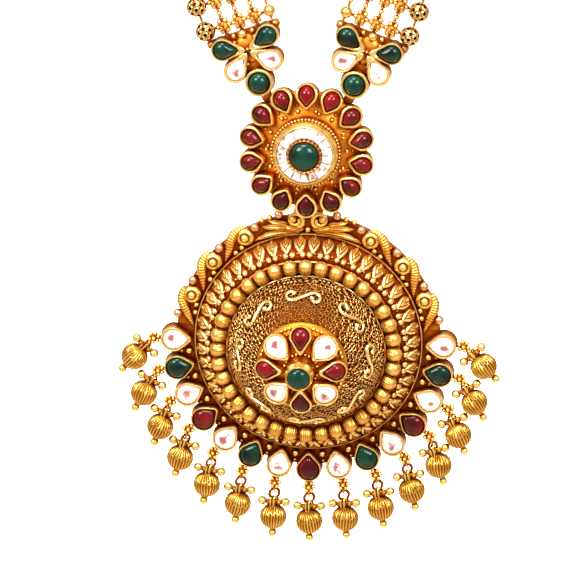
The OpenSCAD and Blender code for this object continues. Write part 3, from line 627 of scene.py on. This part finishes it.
rosette_gold = gilding("gilded_rosette_casting", "#94420a", "#dc922a", "#ffe48c", 0.28)
rosette_body = joined(
    turned(ground, 96),
    placed(collet(ruby_pear, ruby_opening, bezel_h), ruby_places),
    turned(collar, 96),
    granules(0.3, np.arange(0, 360, 6), 7.08, 3.25 + centre_rise, -0.3, 7),
    placed(turned(centre_collet, 96, 24, 0.05), shift(z=centre_rise)),
    granules(0.5, between_rubies, 8.4, 2.35),
    granules(0.4, between_rubies[::2] + 5.5, 8.1, 2.45),
    granules(0.36, between_rubies, 9.6, 1.8),
    placed(lug, [at_hinge @ shift(x) @ side_on for x in (-hinge_x, hinge_x)], 0.4),
    placed(pin, at_hinge @ turn("Y", 90)),
    placed(stud, [shift(-stud_x, stud_y), shift(stud_x, stud_y)]),
)
piece("rosette_plate", placed(rosette_body, at_rosette), "chain", rosette_gold, ["rosette"])

# Rosette stones: fourteen red glass pears, a ring of eighteen tapered clear crystals with stepped edges
# lying on the sloped cup, and a round green cabochon in the middle.
crystal_count = 18
crystal_in, crystal_out = 3.65, 5.8
red_glass = stone_glass("ruby_red_foiled_glass", "#3c0206", "#78060d")


def shaded_below(shape, share):
    """The shape darker towards the bottom, as painted shade: its tone rises by share for each mm that a point
    lies below the middle."""
    return toned(shape, shape[3] + share * np.maximum(-shape[0][:, 1], 0))


def step_cut(insets, heights):
    """Tapered crystal between two radii: its four corners lie on its side planes at half the pitch angle,
    drawn in by each inset and lifted by each height above the sloped cup."""
    inset, height = np.array(insets)[:, None], np.array(heights)[:, None]
    r = np.array([crystal_in, crystal_in, crystal_out, crystal_out]) + inset * np.array([1, 1, -1, -1])
    x = np.array([-1, 1, 1, -1]) * (r * np.tan(pi / crystal_count) - 0.06 - 0.7 * inset)
    return shell(np.stack([x, r, 5.22 - 0.6 * (r - 3.55) / 2.35 + height], -1))


def sparkle(tree, place):
    """Faceted clear crystal: each facet mirrors another patch of the room, from white to rosy brown."""
    cloud = add(tree, "TexNoise", {"Vector": place, "Scale": 1 / (1.1 * MM), "Detail": 3})
    stops = ((0.34, "#a87a68"), (0.58, "#ffffff"), (0.46, "#efe2d8"))
    return {"Base Color": add(tree, "ValToRGB", {"Fac": cloud}, stops)}


crystal_glass = finish_of("step_cut_clear_crystal", sparkle, Roughness=0.04, IOR=1.6)
ruby_cab = cabochon(ruby_opening, stone_low, bezel_h - 0.6, 4.1)
# Painted shade: the rubies darken towards the bottom of the rosette.
rubies = shaded_below(placed(ruby_cab, ruby_places), 0.08)
crystal = step_cut([0, 0, 0.2, 0.34], [0.1, 0.62, 0.84, 0.9])
at_centre = at_rosette @ shift(z=centre_rise)
crystals = placed(crystal, [at_centre @ turn("Z", i * 360 / crystal_count) for i in range(crystal_count)])
centre_stone = cabochon(teardrop(3.06, 3.06, 64), 5.95, 6.5, 8.25)
piece("rosette_rubies", placed(rubies, at_rosette), "chain", red_glass, ["rosette_ruby_ring"])
piece("rosette_crystals", crystals, "chain", crystal_glass, ["rosette_crystal_ring"], 8)
piece("rosette_green_centre", placed(centre_stone, at_centre), "chain", green_glass, ["rosette_center_stone"])

# Pendant plate: a round back plate with a fan of fifteen pear collets along its lower edge. A daisy bead
# with an eyelet is soldered below each collet, and the hinge's knuckle is at the top.
pendant_lean = 5
hinge_on_pendant = 28.3
at_pendant = shift(*hinge) @ turn("X", 90 + pendant_lean) @ shift(y=-hinge_on_pendant)
fan_count = 15
fan_angles = 270 - np.arange(fan_count) * 180 / (fan_count - 1)
between_fan = (fan_angles[:-1] + fan_angles[1:]) / 2
fan_pear, fan_opening = pear(2.75, 4.25, 0.81, 0.78)
fan_places = [polar(a, 28.5) for a in fan_angles]
daisy_ring, daisy_z = 32.7, 1.8
splay_table = np.array([0, 3, 8, 11, 16, 20, 30, 43])
drop_splay = np.concatenate([-splay_table[:0:-1], splay_table])
drop_places = [shift(daisy_ring * sin(radians(a)), daisy_ring * cos(radians(a)), daisy_z) @ turn("Z", splay)
               for a, splay in zip(fan_angles, drop_splay)]
eye_r, eye_drop, link_r, loop_wire = 0.55, 1.55, 1.1, 0.24
facing_x = turn("Y", 90)
daisy = joined(
    toned(ball(1.0, 12), 0.6),
    placed(ball(0.52, 8), [turn("Z", 60 * k + 30) @ shift(y=1.0, z=0.45) for k in range(6)], -0.35),
    placed(ball(0.45, 8), [shift(z=1.0), shift(z=-1.0)], -0.35),
    placed(ring(eye_r, loop_wire, 14), shift(y=-eye_drop) @ facing_x),
)
neck = turned([(0, 0), (0.5, 0), (0.42, 0.7), (0.5, 1.4), (0, 1.4)], 12)
knuckle = [(0.66, -1.8), (1.1, -1.8), (1.2, -1.7), (1.2, 1.7), (1.1, 1.8), (0.66, 1.8)]
plate_gold = gilding("gilded_plate_casting", "#6a2205", "#c87e22", "#fcd880", 0.3)
plate_r = 27.9
back_plate = [(0, 0, 0.65), (plate_r - 0.2, 0, 0.65), (plate_r, 0.2, 0.6), (plate_r, 1.0, 0.5),
              (plate_r - 0.2, plate_t, 0.5), (0, plate_t, 0.5)]
pendant_body = joined(
    turned(back_plate, 144),
    placed(collet(fan_pear, fan_opening, bezel_h), fan_places),
    placed(neck, [polar(a, 31.2, daisy_z) @ turn("X", -90) for a in fan_angles], 0.4),
    placed(daisy, drop_places),
    granules(0.78, between_fan, 25.45, 1.75, -0.1, 12),
    granules(0.52, between_fan, 27.1, 1.5),
    placed(turned(knuckle, 28), shift(y=hinge_on_pendant) @ facing_x),
    slab((3.6, 3.2, 0.3), -0.6, plate_t, 0.15, (0, 26.1), 0.6),
)
piece("pendant_back_plate", placed(pendant_body, at_pendant), "pendant", plate_gold, ["pendant_plate"])

# Fan stones: fifteen pears from one side of the pendant to the other, every second one clear, and those
# between them green and red in turn.
fan_kinds = ["clear", "green", "clear", "ruby"] * 4
fan_cab = cabochon(fan_opening, stone_low, bezel_h - 0.6, 4.05)
fan_flat = flat_cut(fan_opening[::3], stone_low, bezel_h - 0.5, 3.15)
fan_looks = {
    "clear": (fan_flat, clear_stone, "clear_stone", 12),
    "green": (fan_cab, green_glass, "green_stone", 38),
    "ruby": (toned(fan_cab, 0.5), red_glass, "red_stone", 38),
}
for kind, (shape, material, slot, crease) in fan_looks.items():
    chosen = [i for i in range(fan_count) if fan_kinds[i] == kind]
    stones = placed(shape, at_pendant @ [fan_places[i] for i in chosen])
    nodes = [f"fan_stone_{i + 1}" for i in chosen]
    piece(f"fan_{kind}_stones", stones, "pendant", material, nodes, crease)

# Scroll border round the top of the pendant plate: cast bosses with bright balls, ridged commas that
# curl round them, rose-gold balls, and a pair of volutes with acanthus leaves under the hinge.
border_z = 1.25
boss_angles = np.array([30, 49, 68])
boss_ring = 26.45
rose_places = [(12.3, 28.8), (24.0, 27.5), (42.6, 27.6), (61.8, 27.6), (78.4, 28.1)]


def carried(section, places, tone):
    """Closed section of (x, z) points, anticlockwise about Y, carried through places that run along Y, and
    closed at both ends. It is one section, or one for each place."""
    section = np.broadcast_to(np.asarray(section, float), (len(places), *np.shape(section)[-2:]))
    flat = np.stack([section[..., 0], 0 * section[..., 0], section[..., 1]], -1)
    places = np.asarray(places)
    return shell(np.einsum("nij,nkj->nki", places[:, :3, :3], flat) + places[:, None, :3, 3], tone=tone)


def along_path(knots, count):
    """Frames along a smooth path through (angle, radius, height) knots, in degrees clockwise from the top and
    mm: each coordinate is a polynomial through all knots. Y runs along it, and Z is nearest to up."""
    s, at, degree = np.linspace(0, 1, count), np.linspace(0, 1, len(knots)), len(knots) - 1
    angle, radius, height = (np.polyval(np.polyfit(at, row, degree), s) for row in np.transpose(knots))
    angle = np.radians(angle)
    path = np.stack([radius * np.sin(angle), radius * np.cos(angle), height], -1)
    along = unit(np.gradient(path, axis=0))
    across = unit(np.cross(along, [0, 0, 1.0]))
    return frames(across, along, np.cross(across, along), path)


def comma(angle, count=76, sides=12, ridges=15):
    """Ridged comma round the outside of a boss: half its width is 0.98 sin(pi (0.16 + 0.84 s))^0.8 + 0.08 at
    s along it, and ridges with dark grooves between them run across its crown."""
    knots = [(angle - 2, 28.1, 2.0), (angle + 2.5, 28.2, 2.2), (angle + 6.3, 27.3, 2.2),
             (angle + 10.5, 25.8, 2.0), (angle + 15.5, 24.5, 1.8)]
    s = np.linspace(0, 1, count)[:, None]
    phi = full_turn(sides)
    ridge = 0.5 + 0.5 * np.cos(2 * pi * ridges * s)
    half = 0.98 * np.sin(pi * (0.16 + 0.84 * s)) ** 0.8 + 0.08
    crown = np.where(np.cos(phi) > 0, 1.0, 0.6) * (0.8 + 0.22 * ridge)
    section = np.stack([half * np.sin(phi), 0.85 * half * np.cos(phi) * crown], -1)
    return carried(section, along_path(knots, count), 0.5 * (1 - ridge) - 0.1)


def volute(count=60):
    """Rolled wire end: a spiral of 1.3 turns whose radius falls from 1.72 to 0.72, thinner inwards."""
    s = np.linspace(0, 1, count)
    a = radians(262) - s * radians(470)
    r = 1.72 - 1.0 * s
    path = np.stack([2.6 + r * np.cos(a), 27.0 + r * np.sin(a), border_z + 0.9 + 0.5 * s], -1)
    return toned(tube(path, 0.56 - 0.2 * s, 10), -0.25)


def leaf_finger(width, *knots, count=36, sides=16):
    """Finger of an acanthus leaf: half its width is width sin(pi (0.2 + 0.78 s))^0.7 / 2 at s along it, and
    two dark grooves run down its crown."""
    s = np.linspace(0, 1, count)[:, None]
    phi = full_turn(sides)
    half = width / 2 * np.sin(pi * (0.2 + 0.78 * s)) ** 0.7
    groove = np.exp(-((np.abs(np.sin(phi)) - 0.42) / 0.2) ** 2) * (np.cos(phi) > 0) * (1 - s ** 3)
    section = np.stack([half * np.sin(phi), 0.95 * half * np.cos(phi) * (1 - 0.35 * groove)], -1)
    return carried(section, along_path(knots, count), 0.9 * groove - 0.15)


boss = [(0, border_z, 0.5), (1.95, border_z, 0.4), (2.02, 1.9, 0.1), (1.93, 2.3, -0.1), (1.68, 2.68, -0.1),
        (1.32, 2.95, -0.05), (1.02, 3.0, 0.3), (0.88, 2.7, 0.9), (0, 2.7, 0.9)]
band_edge = [(24.7, 1.25), (24.7, 1.6), (24.8, 1.7), (27.8, 1.7), (27.95, 1.55), (27.95, 1.25)]
border_gold = gilding("gilded_border_casting", "#7c2a06", "#d0861c", "#ffe084", 0.29)
border_half = joined(
    placed(turned(boss, 30), [polar(a, boss_ring) for a in boss_angles]),
    granules(0.85, boss_angles, boss_ring, 2.95, -0.6, 14),
    *[comma(a) for a in boss_angles],
    volute(),
    placed(ball(0.85, 12), shift(3.1, 27.3, border_z + 1.3)),
    leaf_finger(1.5, (3.5, 25.1, 2.1), (9, 24.75, 2.3), (16, 25.0, 2.4), (22, 25.0, 2.2), (27, 24.7, 1.8)),
    leaf_finger(1.45, (7.5, 25.6, 2.2), (11, 25.9, 2.6), (15, 26.3, 2.6), (18.5, 26.6, 2.2), (21, 26.9, 1.9)),
    leaf_finger(1.3, (9.5, 26.3, 2.2), (12, 26.8, 2.6), (15, 27.3, 2.4), (17.5, 27.9, 1.9)),
    leaf_finger(1.2, (3.0, 25.2, 2.0), (5.5, 25.2, 2.6), (9, 25.7, 2.7), (12, 26.1, 2.2)),
    granules(0.58, boss_angles + 4.2, 24.8, 2.05, -0.2),
    granules(0.58, boss_angles + 8.2, 24.55, 2.0, -0.2),
    granules(0.6, [16.4], 28.5, 1.9, -0.2),
    granules(0.6, [20.1], 28.4, 1.9, -0.2),
    granules(0.36, [39.0, 58.4, 77.0], 27.4, 1.9, -0.2, 8),
    placed(ball(0.36, 8), shift(1.25, 24.9, 1.9)),
)
border = joined(
    carried(band_edge, [turn("Z", a) for a in np.linspace(7, 173, 90)], 0.65),
    mirrored(border_half),
    placed(ball(0.62), shift(0, 24.9, 2.0), -0.2),
)
piece("border_scrolls", placed(border, at_pendant), "pendant", border_gold, ["scroll_border"])
rose_gold = gilding("rose_gilded_ball", "#7e3a1c", "#bd7a4e", "#e8b890", 0.3)
rose_balls = mirrored(placed(ball(0.98, 16), [polar(a, r, 2.18) for a, r in rose_places]))
piece("border_rose_balls", placed(rose_balls, at_pendant), "pendant", rose_gold)

# Ring of forty-eight veined leaves on the flank of the boss, chased in repousse over a thin sheet flange,
# with thirty-six pairs of granules along their inner ends.
leaf_count = 48
flank = [(24.15, 1.25), (24.15, 1.9), (24.0, 2.05), (23.6, 2.05), (20.35, 6.38), (17.0, 6.4), (17.0, 5.8),
         (20.0, 5.8), (23.0, 1.25)]
flank_lean = turn("X", 180 - np.degrees(np.arctan2(4.4, 3.2))) @ turn("Y", 180)


def veined_leaf(count=26, length=4.8):
    """Leaf along Y from its outer end to its inner one: half its width is 1.3 sin(pi v^0.85) + 0.06 at v
    along it. Two V-shaped grooves, which keep their oxide, open outwards from its middle line."""
    v = np.linspace(0.02, 0.98, count)[:, None]
    across = np.concatenate([np.linspace(0, 1, 8), [0.9, 0, -0.9], np.linspace(-1, 0, 8)[:-1]])
    on_top = np.repeat([True, False, True], [8, 3, 7])
    half = 1.3 * np.sin(pi * v ** 0.85) + 0.06
    slope, reach = np.array([(1.15, 0.86), (1.5, 0.48)]).T[..., None, None]
    off_veins = (np.abs(across) - slope * (reach - v)) / 0.15
    groove = np.minimum(np.exp(-off_veins ** 2).sum(0), 1) * (np.abs(across) < 0.97)
    crown = (1.0 - 0.3 * groove) * (1 - across ** 2) ** 0.25 * np.sin(pi * v ** 0.9) ** 0.4
    y = -length / 2 + length * v + 0 * across
    return shell(np.stack([half * across, y, np.where(on_top, crown, -0.3)], -1), tone=1.2 * groove - 0.65)


leaf_gold = gilding("gilded_chased_leaves", "#7c2a06", "#cf8826", "#ffea9c", 0.27, 1.1)
leaf_places = [polar((i + 0.5) * 360 / leaf_count, 22.1, 4.1) @ flank_lean for i in range(leaf_count)]
granule_angles = np.arange(0, 360, 10)
pair_angles = (granule_angles[:, None] + [-1.9, 1.9]).ravel()
granule = joined(placed(ball(0.66, 9), np.diag([1, 1.3, 1, 1])),
                 tube([[0, 0, 0], [0, 0.9, -0.15], [0.12, 1.7, -0.5]], [0.42, 0.3, 0.12], 6))
leaves = joined(
    toned(turned(flank, 144), 0.75),
    placed(veined_leaf(), leaf_places),
    placed(ring(23.92, 0.15, 144), shift(z=2.2), -0.2),
    placed(granule, [polar(a, 20.75, 6.35) @ turn("X", -50) for a in pair_angles], -0.1),
    granules(0.3, granule_angles + 5, 20.9, 5.9, 0.1, 7),
)
# Painted shade: the leaf frieze darkens towards the bottom of the pendant.
piece("leaf_frieze", placed(shaded_below(leaves, 0.015), at_pendant), "pendant", leaf_gold, ["leaf_ring"])

# Ring of thirty-six thimble beads round the dome, soldered mouth outwards to a flat wire. They are
# brushed lengthwise, which leaves fine ribs, and are otherwise satin.
bead_count = 36
mouth = np.linspace(-1, 1, 13)
thimble = turned(np.stack([1.56 * (1 - np.abs(mouth) ** 2.6) ** 0.5, 1.75 * mouth], -1), 36, 18, 0.05)
thimble = toned(thimble, 0.45 * thimble[3] - 0.2)
thimble_places = [polar(i * 360 / bead_count, 18.5, 8.05) @ turn("X", -62) for i in range(bead_count)]
seat = [(17.05, 6.45), (19.65, 6.45), (19.65, 7.0), (19.5, 7.15), (17.05, 7.15)]
thimble_gold = gilding("gilded_satin_thimble", "#84380a", "#cc8a24", "#ffdc80", 0.32, 1.4)
# Painted shade: the thimble beads and their seat darken towards the bottom of the pendant.
thimbles = shaded_below(joined(turned(seat, 144), placed(thimble, thimble_places)), 0.009)
piece("thimble_beads", placed(thimbles, at_pendant), "pendant", thimble_gold, ["bead_ring"])

# Dome over the boss: raised sheet, near-black as painted shade in the net's gaps, under a net of over a
# thousand tiny C-shaped wires in rows, with eight S-scrolls of polished wire on it and a rim wire round its
# foot.
dome_r = 16.5
dome_sphere_r, dome_sphere_z = 17.875, 0.925
net_pitch = 0.89
net_gold = gilding("gilded_net_wire", "#7a360a", "#c48338", "#f6c87e", 0.32, 0.5)
scroll_gold = gilding("polished_scroll_wire", "#8a4410", "#e0a642", "#ffeaa8", 0.22, 0.8)
arc = np.radians(np.linspace(66.5, 27, 14))
sheet_r = dome_sphere_r - 0.3
sheet = np.stack([sheet_r * np.sin(arc), dome_sphere_z + sheet_r * np.cos(arc)], -1)
dome_shell = turned([(0, 1.3), (dome_r, 1.3), (dome_r, 7.6), *sheet, (0, sheet[-1, 1])], 96)
piece("dome_sheet", placed(dome_shell, at_pendant), "pendant", shade_inside, ["filigree_dome"])


def on_dome(down, around, lift):
    """Place on the dome at angles down from its crown and clockwise round it, with Z out of the dome."""
    return shift(z=dome_sphere_z) @ turn("Z", -around) @ turn("X", -down) @ shift(z=dome_sphere_r + lift)


bend = np.radians(np.linspace(-30, 220, 6))
c_wire = tube(np.stack([0.4 * np.cos(bend), 0.34 * np.sin(bend), 0 * bend], -1), 0.11, 4)
net_places = []
for row, down in enumerate(np.arange(28.0, 67, np.degrees(net_pitch / dome_sphere_r))):
    in_row = int(2 * pi * dome_sphere_r * sin(radians(down)) / net_pitch)
    for k in range(in_row):
        strayed = 0.22 * sin(5.1 * k + 1.7 * row)
        facing = 90 * ((row + k) % 2) + 70 * sin(2.4 * k + 3.1 * row)
        around = (k + 0.5 * (row % 2) + strayed) * 360 / in_row
        net_places.append(on_dome(down + strayed, around, -0.15) @ turn("Z", facing))
piece("dome_wire_net", placed(placed(c_wire, net_places), at_pendant), "pendant", net_gold)


def s_scroll(half_length=6.7, straight=0.2, curl=4.9, count=91):
    """S of round wire that lies on the dome: straight in the middle, and at s beyond that, on to 1 at either
    end, its heading is -curl ((s - straight) / (1 - straight))^1.5. A granule closes each end."""
    s = np.linspace(-1, 1, count)
    heading = -curl * (np.maximum(np.abs(s) - straight, 0) / (1 - straight)) ** 1.5
    x, y = (np.cumsum(f(heading)) * half_length * 2 / (count - 1) for f in (np.cos, np.sin))
    x, y = x - x[count // 2], y - y[count // 2]
    z = np.sqrt(dome_sphere_r ** 2 - x ** 2 - y ** 2) - dome_sphere_r
    ends = [shift(x[i], y[i], z[i] + 0.1) for i in (0, -1)]
    return toned(joined(tube(np.stack([x, y, z], -1), 0.34, 8), placed(ball(0.56), ends)), -0.3)


scroll_places = [on_dome(50, i * 45 + 2.2 * sin(1.3 * i), 0.18) @ turn("Z", 25 + 4 * sin(3.1 * i))
                 for i in range(8)]
rim_wire = placed(ring(dome_r + 0.12, 0.25, 144, 8), shift(z=7.95))
# Painted light and shade: the rim wire's tone rises towards the bottom of the pendant, so it is lighter at
# the top and darker below.
rim_wire = toned(rim_wire, 0.2 - 0.04 * rim_wire[0][:, 1])
scrolls = joined(placed(s_scroll(), scroll_places), rim_wire)
piece("dome_s_scrolls", placed(scrolls, at_pendant), "pendant", scroll_gold)

# Flower on the crown of the dome: a cast disc with four red and four clear pears in thin collets, tiny
# granules at its edge, and a tall stepped collet in the middle.
flower_floor = 0.6
flower_cup = (2.4, flower_floor, -0.9)
flower_lean = shift(z=17.75) @ turn("X", -21)
flower_reds = [polar(90 * i, 6.75) @ flower_lean for i in range(4)]
flower_clears = [polar(45 + 90 * i, 6.55) @ flower_lean for i in range(4)]
between_petals = 22.5 + 45 * np.arange(8)
red_pear, red_opening = pear(2.35, 4.3, 0.74, 0.72)
clear_pear, clear_opening = pear(2.75, 4.0, 0.82, 0.84)
flower_cap = [(0, 16.0), (9.35, 16.0), (9.45, 16.35), (9.3, 16.7), (8.9, 17.1), (7.8, 17.75), (6.2, 18.5),
              (4.0, 19.1), (0, 19.3)]
tall_collet = [(0, 18.8), (3.1, 18.8), (3.15, 19.6), (2.95, 20.0), (2.72, 21.2), (2.7, 22.0), (2.92, 22.4),
               (2.98, 23.0), (2.82, 23.3), (2.74, 24.3), (2.68, 24.75), (2.5, 25.0), (2.3, 24.9),
               (2.18, 24.5), (0, 24.4)]
flower_gold = gilding("gilded_flower_casting", "#a04a0a", "#e09a2c", "#ffe490", 0.28)
flower = joined(
    toned(turned(flower_cap, 96), 0.4),
    placed(collet(red_pear, red_opening, *flower_cup), flower_reds),
    placed(collet(clear_pear, clear_opening, *flower_cup), flower_clears),
    turned(tall_collet, 60),
    granules(0.4, (between_petals[:, None] + [-6, 0, 6]).ravel(), 8.75, 17.5, -0.3, 9),
    granules(0.3, between_petals, 7.8, 18.2, sides=8),
    granules(0.36, np.arange(0, 360, 15), 3.5, 19.35, -0.2, 8),
)
piece("flower_plate", placed(flower, at_pendant), "pendant", flower_gold, ["flower_setting"])

# Flower stones: four red cabochons, four flat clear stones, and a round green one in the tall collet.
# Each is held by the rim of its collet.
petal_low = flower_floor + 0.05
red_petals = placed(cabochon(red_opening, petal_low, 1.85, 3.05), flower_reds)
clear_petal = flat_cut(clear_opening[::3], petal_low, 2.0, 2.45)
flower_flats = placed(clear_petal, at_pendant @ flower_clears)
crown_stone = cabochon(teardrop(2.28, 2.28, 48), 24.3, 24.7, 26.0)
# Painted shade: the red petals darken towards the bottom of the flower.
piece("flower_red_petals", placed(shaded_below(red_petals, 0.15), at_pendant), "pendant", red_glass,
      [f"flower_ruby_{i}" for i in range(1, 5)])
piece("flower_clear_petals", flower_flats, "pendant", clear_stone, [f"flower_clear_{i}" for i in range(1, 5)],
      12)
piece("flower_green_centre", placed(crown_stone, at_pendant), "pendant", green_glass, ["flower_center_stone"])

# Jump rings that link each drop's bails to the eyelet of its daisy bead: cut from drawn wire and left with
# their brown oxide. The outer drops hang higher, on smaller rings.
loop_gold = gilding("oxidised_jump_ring", "#5a2006", "#a8541c", "#e8b060", 0.3, 0.6)
jump_ring = placed(ring(link_r, loop_wire + 0.12, 20), shift(y=-link_r) @ turn("Y", 25), 0.55)
drawn_up = np.interp(np.abs(np.arange(fan_count) - 7), [1, 3, 5, 7], [0, 0.4, 1.6, 1.8])
ring_places = [at_pendant @ place @ shift(y=-eye_drop) @ np.diag([share, share, 1, 1])
               for place, share in zip(drop_places, 1 - 0.16 * drawn_up)]
piece("jump_rings", placed(jump_ring, ring_places), "pendant", loop_gold, ["drop_rings"])

# Bead drops: two wire bails, a cross bar with a ball at each end, a ribbed melon bead with a zigzag wire
# round its belt, and a cap and a bright ball at the tip.
bail_y = -eye_drop - 2 * link_r
bar_y, bar_half = bail_y - 0.75, 2.5
melon_r = 2.7
melon_y = bar_y - 0.75 - melon_r
melon_end = melon_y - melon_r
melon_arc = np.linspace(-pi / 2, pi / 2, 17)
melon_side = np.stack([1.06 * melon_r * np.cos(melon_arc) ** 0.9, melon_r * np.sin(melon_arc)], -1)
melon = turned(melon_side, 104, 26, 0.065)
around = full_turn(64)
radial = np.stack([np.cos(around), np.sin(around), 0 * around], -1)
zigzag = 0.42 * (np.abs((around * 16 / (2 * pi)) % 1 - 0.5) * 4 - 1)
belt_path = 2.56 * radial + np.stack([0 * around, 0 * around, 0.8 * zigzag - 0.8], -1)
belt_turn = full_turn(5)[:, None]
belt_wire = 0.17 * (np.sin(belt_turn) * radial[:, None] + np.cos(belt_turn) * [0, 0, 1])
belt = shell(belt_path[:, None] + belt_wire, ())
down_y = turn("X", 90)
tip_cap = turned([(0, -0.2), (1.15, -0.2), (1.1, 0.25), (0.75, 0.6), (0.5, 1.0), (0, 1.2)], 20)
bar = tube([[-bar_half, 0, 0], [0, 0.12, 0], [bar_half, 0, 0]], 0.42, 10)
over = radians(1) * np.linspace(180, 0, 9)
bail_top = np.stack([0.62 * np.cos(over), 0.62 * np.sin(over), 0 * over], -1)
bail = tube([[-0.55, -1.9, 0], *bail_top, [0.55, -1.9, 0]], 0.26, 6)
drop = joined(
    placed(bail, [shift(x, bail_y - 0.3) @ turn("Y", 50) for x in (-0.3, 0.35)], -0.1),
    placed(bar, shift(y=bar_y), 0.7),
    placed(ball(0.62), [shift(x, bar_y - 0.3) for x in (-1.1, 0, 1.1)], 0.6),
    placed(ball(1.0, 12), [shift(x, bar_y) for x in (-bar_half, bar_half)]),
    placed(tip_cap, shift(y=melon_end + 0.5) @ down_y, 0.5),
    placed(ball(0.24, 7), [shift(y=melon_end + 0.3) @ turn("Y", 36 * k) @ shift(z=1.15) for k in range(10)]),
    placed(ball(0.92, 12), shift(y=melon_end - 1.05)),
)
melon_gold = gilding("gilded_ribbed_bead", "#80400c", "#d29a2a", "#fff09a", 0.28, 1.2)
hung = [at_pendant @ place @ shift(y=up) for place, up in zip(drop_places, drawn_up)]
melon_places = [place @ shift(y=melon_y) @ turn("Z", 9 * sin(2.1 * i)) @ turn("X", 12 * cos(3.7 * i)) @ down_y
                @ turn("Z", 41 * i) for i, place in enumerate(hung)]
drops = joined(placed(drop, hung), placed(joined(melon, belt), melon_places))
piece("bead_drops", drops, "pendant", melon_gold, ["drops"])

# Studio: a plain pale floor well below the necklace, a softbox above and in front, one at the left like a
# window, one at the right, and one far behind that lights the floor white where the camera sees it.
floor_z = cad_box[0][2] - 0.6
floor_half = 12.0


def faint_mottle(tree, place):
    """Plain matt paper: nearly even, with a faint mottle between two pale sand colours."""
    mottle = add(tree, "TexNoise", {"Vector": place, "Scale": 12.0, "Detail": 3})
    return {"Base Color": add(tree, "ValToRGB", {"Fac": mottle}, ((0.3, "#dccab6"), (0.7, "#dfcebb")))}


floor_mesh = bpy.data.meshes.new("pale_floor")
floor_corners = [floor_half * np.array(corner) for corner in ((-1, -1), (1, -1), (1, 1), (-1, 1))]
floor_mesh.from_pydata([(x, y, floor_z) for x, y in floor_corners], [], [(0, 1, 2, 3)])
floor_mesh.materials.append(finish_of("pale_sand_paper", faint_mottle, Roughness=0.9))
floor = bpy.data.objects.new("pale_floor", floor_mesh)
bpy.context.scene.collection.objects.link(floor)

world = bpy.data.worlds.new("pale_room")
bpy.context.scene.world = world
world.use_nodes = True
sky = world.node_tree
height = add(sky, "SeparateXYZ", {"Vector": add(sky, "TexCoord", out="Generated")}, out="Z")
rise = add(sky, "MapRange", {"Value": height, "From Min": -1.0, "From Max": 1.0})
room_stops = ((0.4, "#c2a488"), (1.0, "#ffffff"), (0.5, "#d4bca4"), (0.62, "#dccabb"))
room = add(sky, "ValToRGB", {"Fac": rise}, room_stops)
sky.links.new(room, sky.nodes["Background"].inputs["Color"])
sky.nodes["Background"].inputs["Strength"].default_value = 1.0


def lamp(name, place, aim, size, watts, colour="#ffffff"):
    """Square area light at a place in metres, turned to face its aim."""
    light = bpy.data.lights.new(name, "AREA")
    light.size, light.energy, light.color = size, watts, linear(colour)[:3]
    made = bpy.data.objects.new(name, light)
    made.location = place
    made.rotation_mode = "QUATERNION"
    made.rotation_quaternion = (Vector(aim) - Vector(place)).to_track_quat("-Z", "Y")
    bpy.context.scene.collection.objects.link(made)


middle = (0, -0.13, -0.19)
lamp("overhead_softbox", (-0.1, -0.5, 0.7), middle, 0.4, 7)
lamp("window_light", (-0.6, -1.0, 0.5), middle, 0.5, 14, "#fffaf2")
lamp("front_fill", (0.6, -1.1, 0.45), middle, 0.5, 12)
lamp("backdrop_light", (-0.25, 1.9, 0.3), (-0.25, 2.55, floor_z), 0.6, 110)

# Camera at the photograph's place, 1.2 m away: 5 degrees to the right of straight in front of the pendant,
# 15 degrees above level, and rolled a little.
azimuth, elevation, roll = radians(5.36), radians(14.56), radians(0.22)
aim, distance = Vector((-3.17, -135, -208.07)) * MM, 1.165
back = Vector((sin(azimuth) * cos(elevation), -cos(azimuth) * cos(elevation), sin(elevation)))
right = Vector((0, 0, 1)).cross(back).normalized()
up = back.cross(right)
right, up = right * cos(roll) + up * sin(roll), up * cos(roll) - right * sin(roll)
facing = Matrix((right, up, back)).transposed().to_4x4()
camera = bpy.data.cameras.new("camera")
camera.sensor_fit = "AUTO"
camera.angle = radians(6.0)
camera.clip_start, camera.clip_end = 0.1, 20
camera_object = bpy.data.objects.new("camera", camera)
camera_object.matrix_world = Matrix.Translation(aim + back * distance) @ facing
bpy.context.scene.collection.objects.link(camera_object)
bpy.context.scene.camera = camera_object
bpy.context.scene.view_settings.view_transform = "Standard"
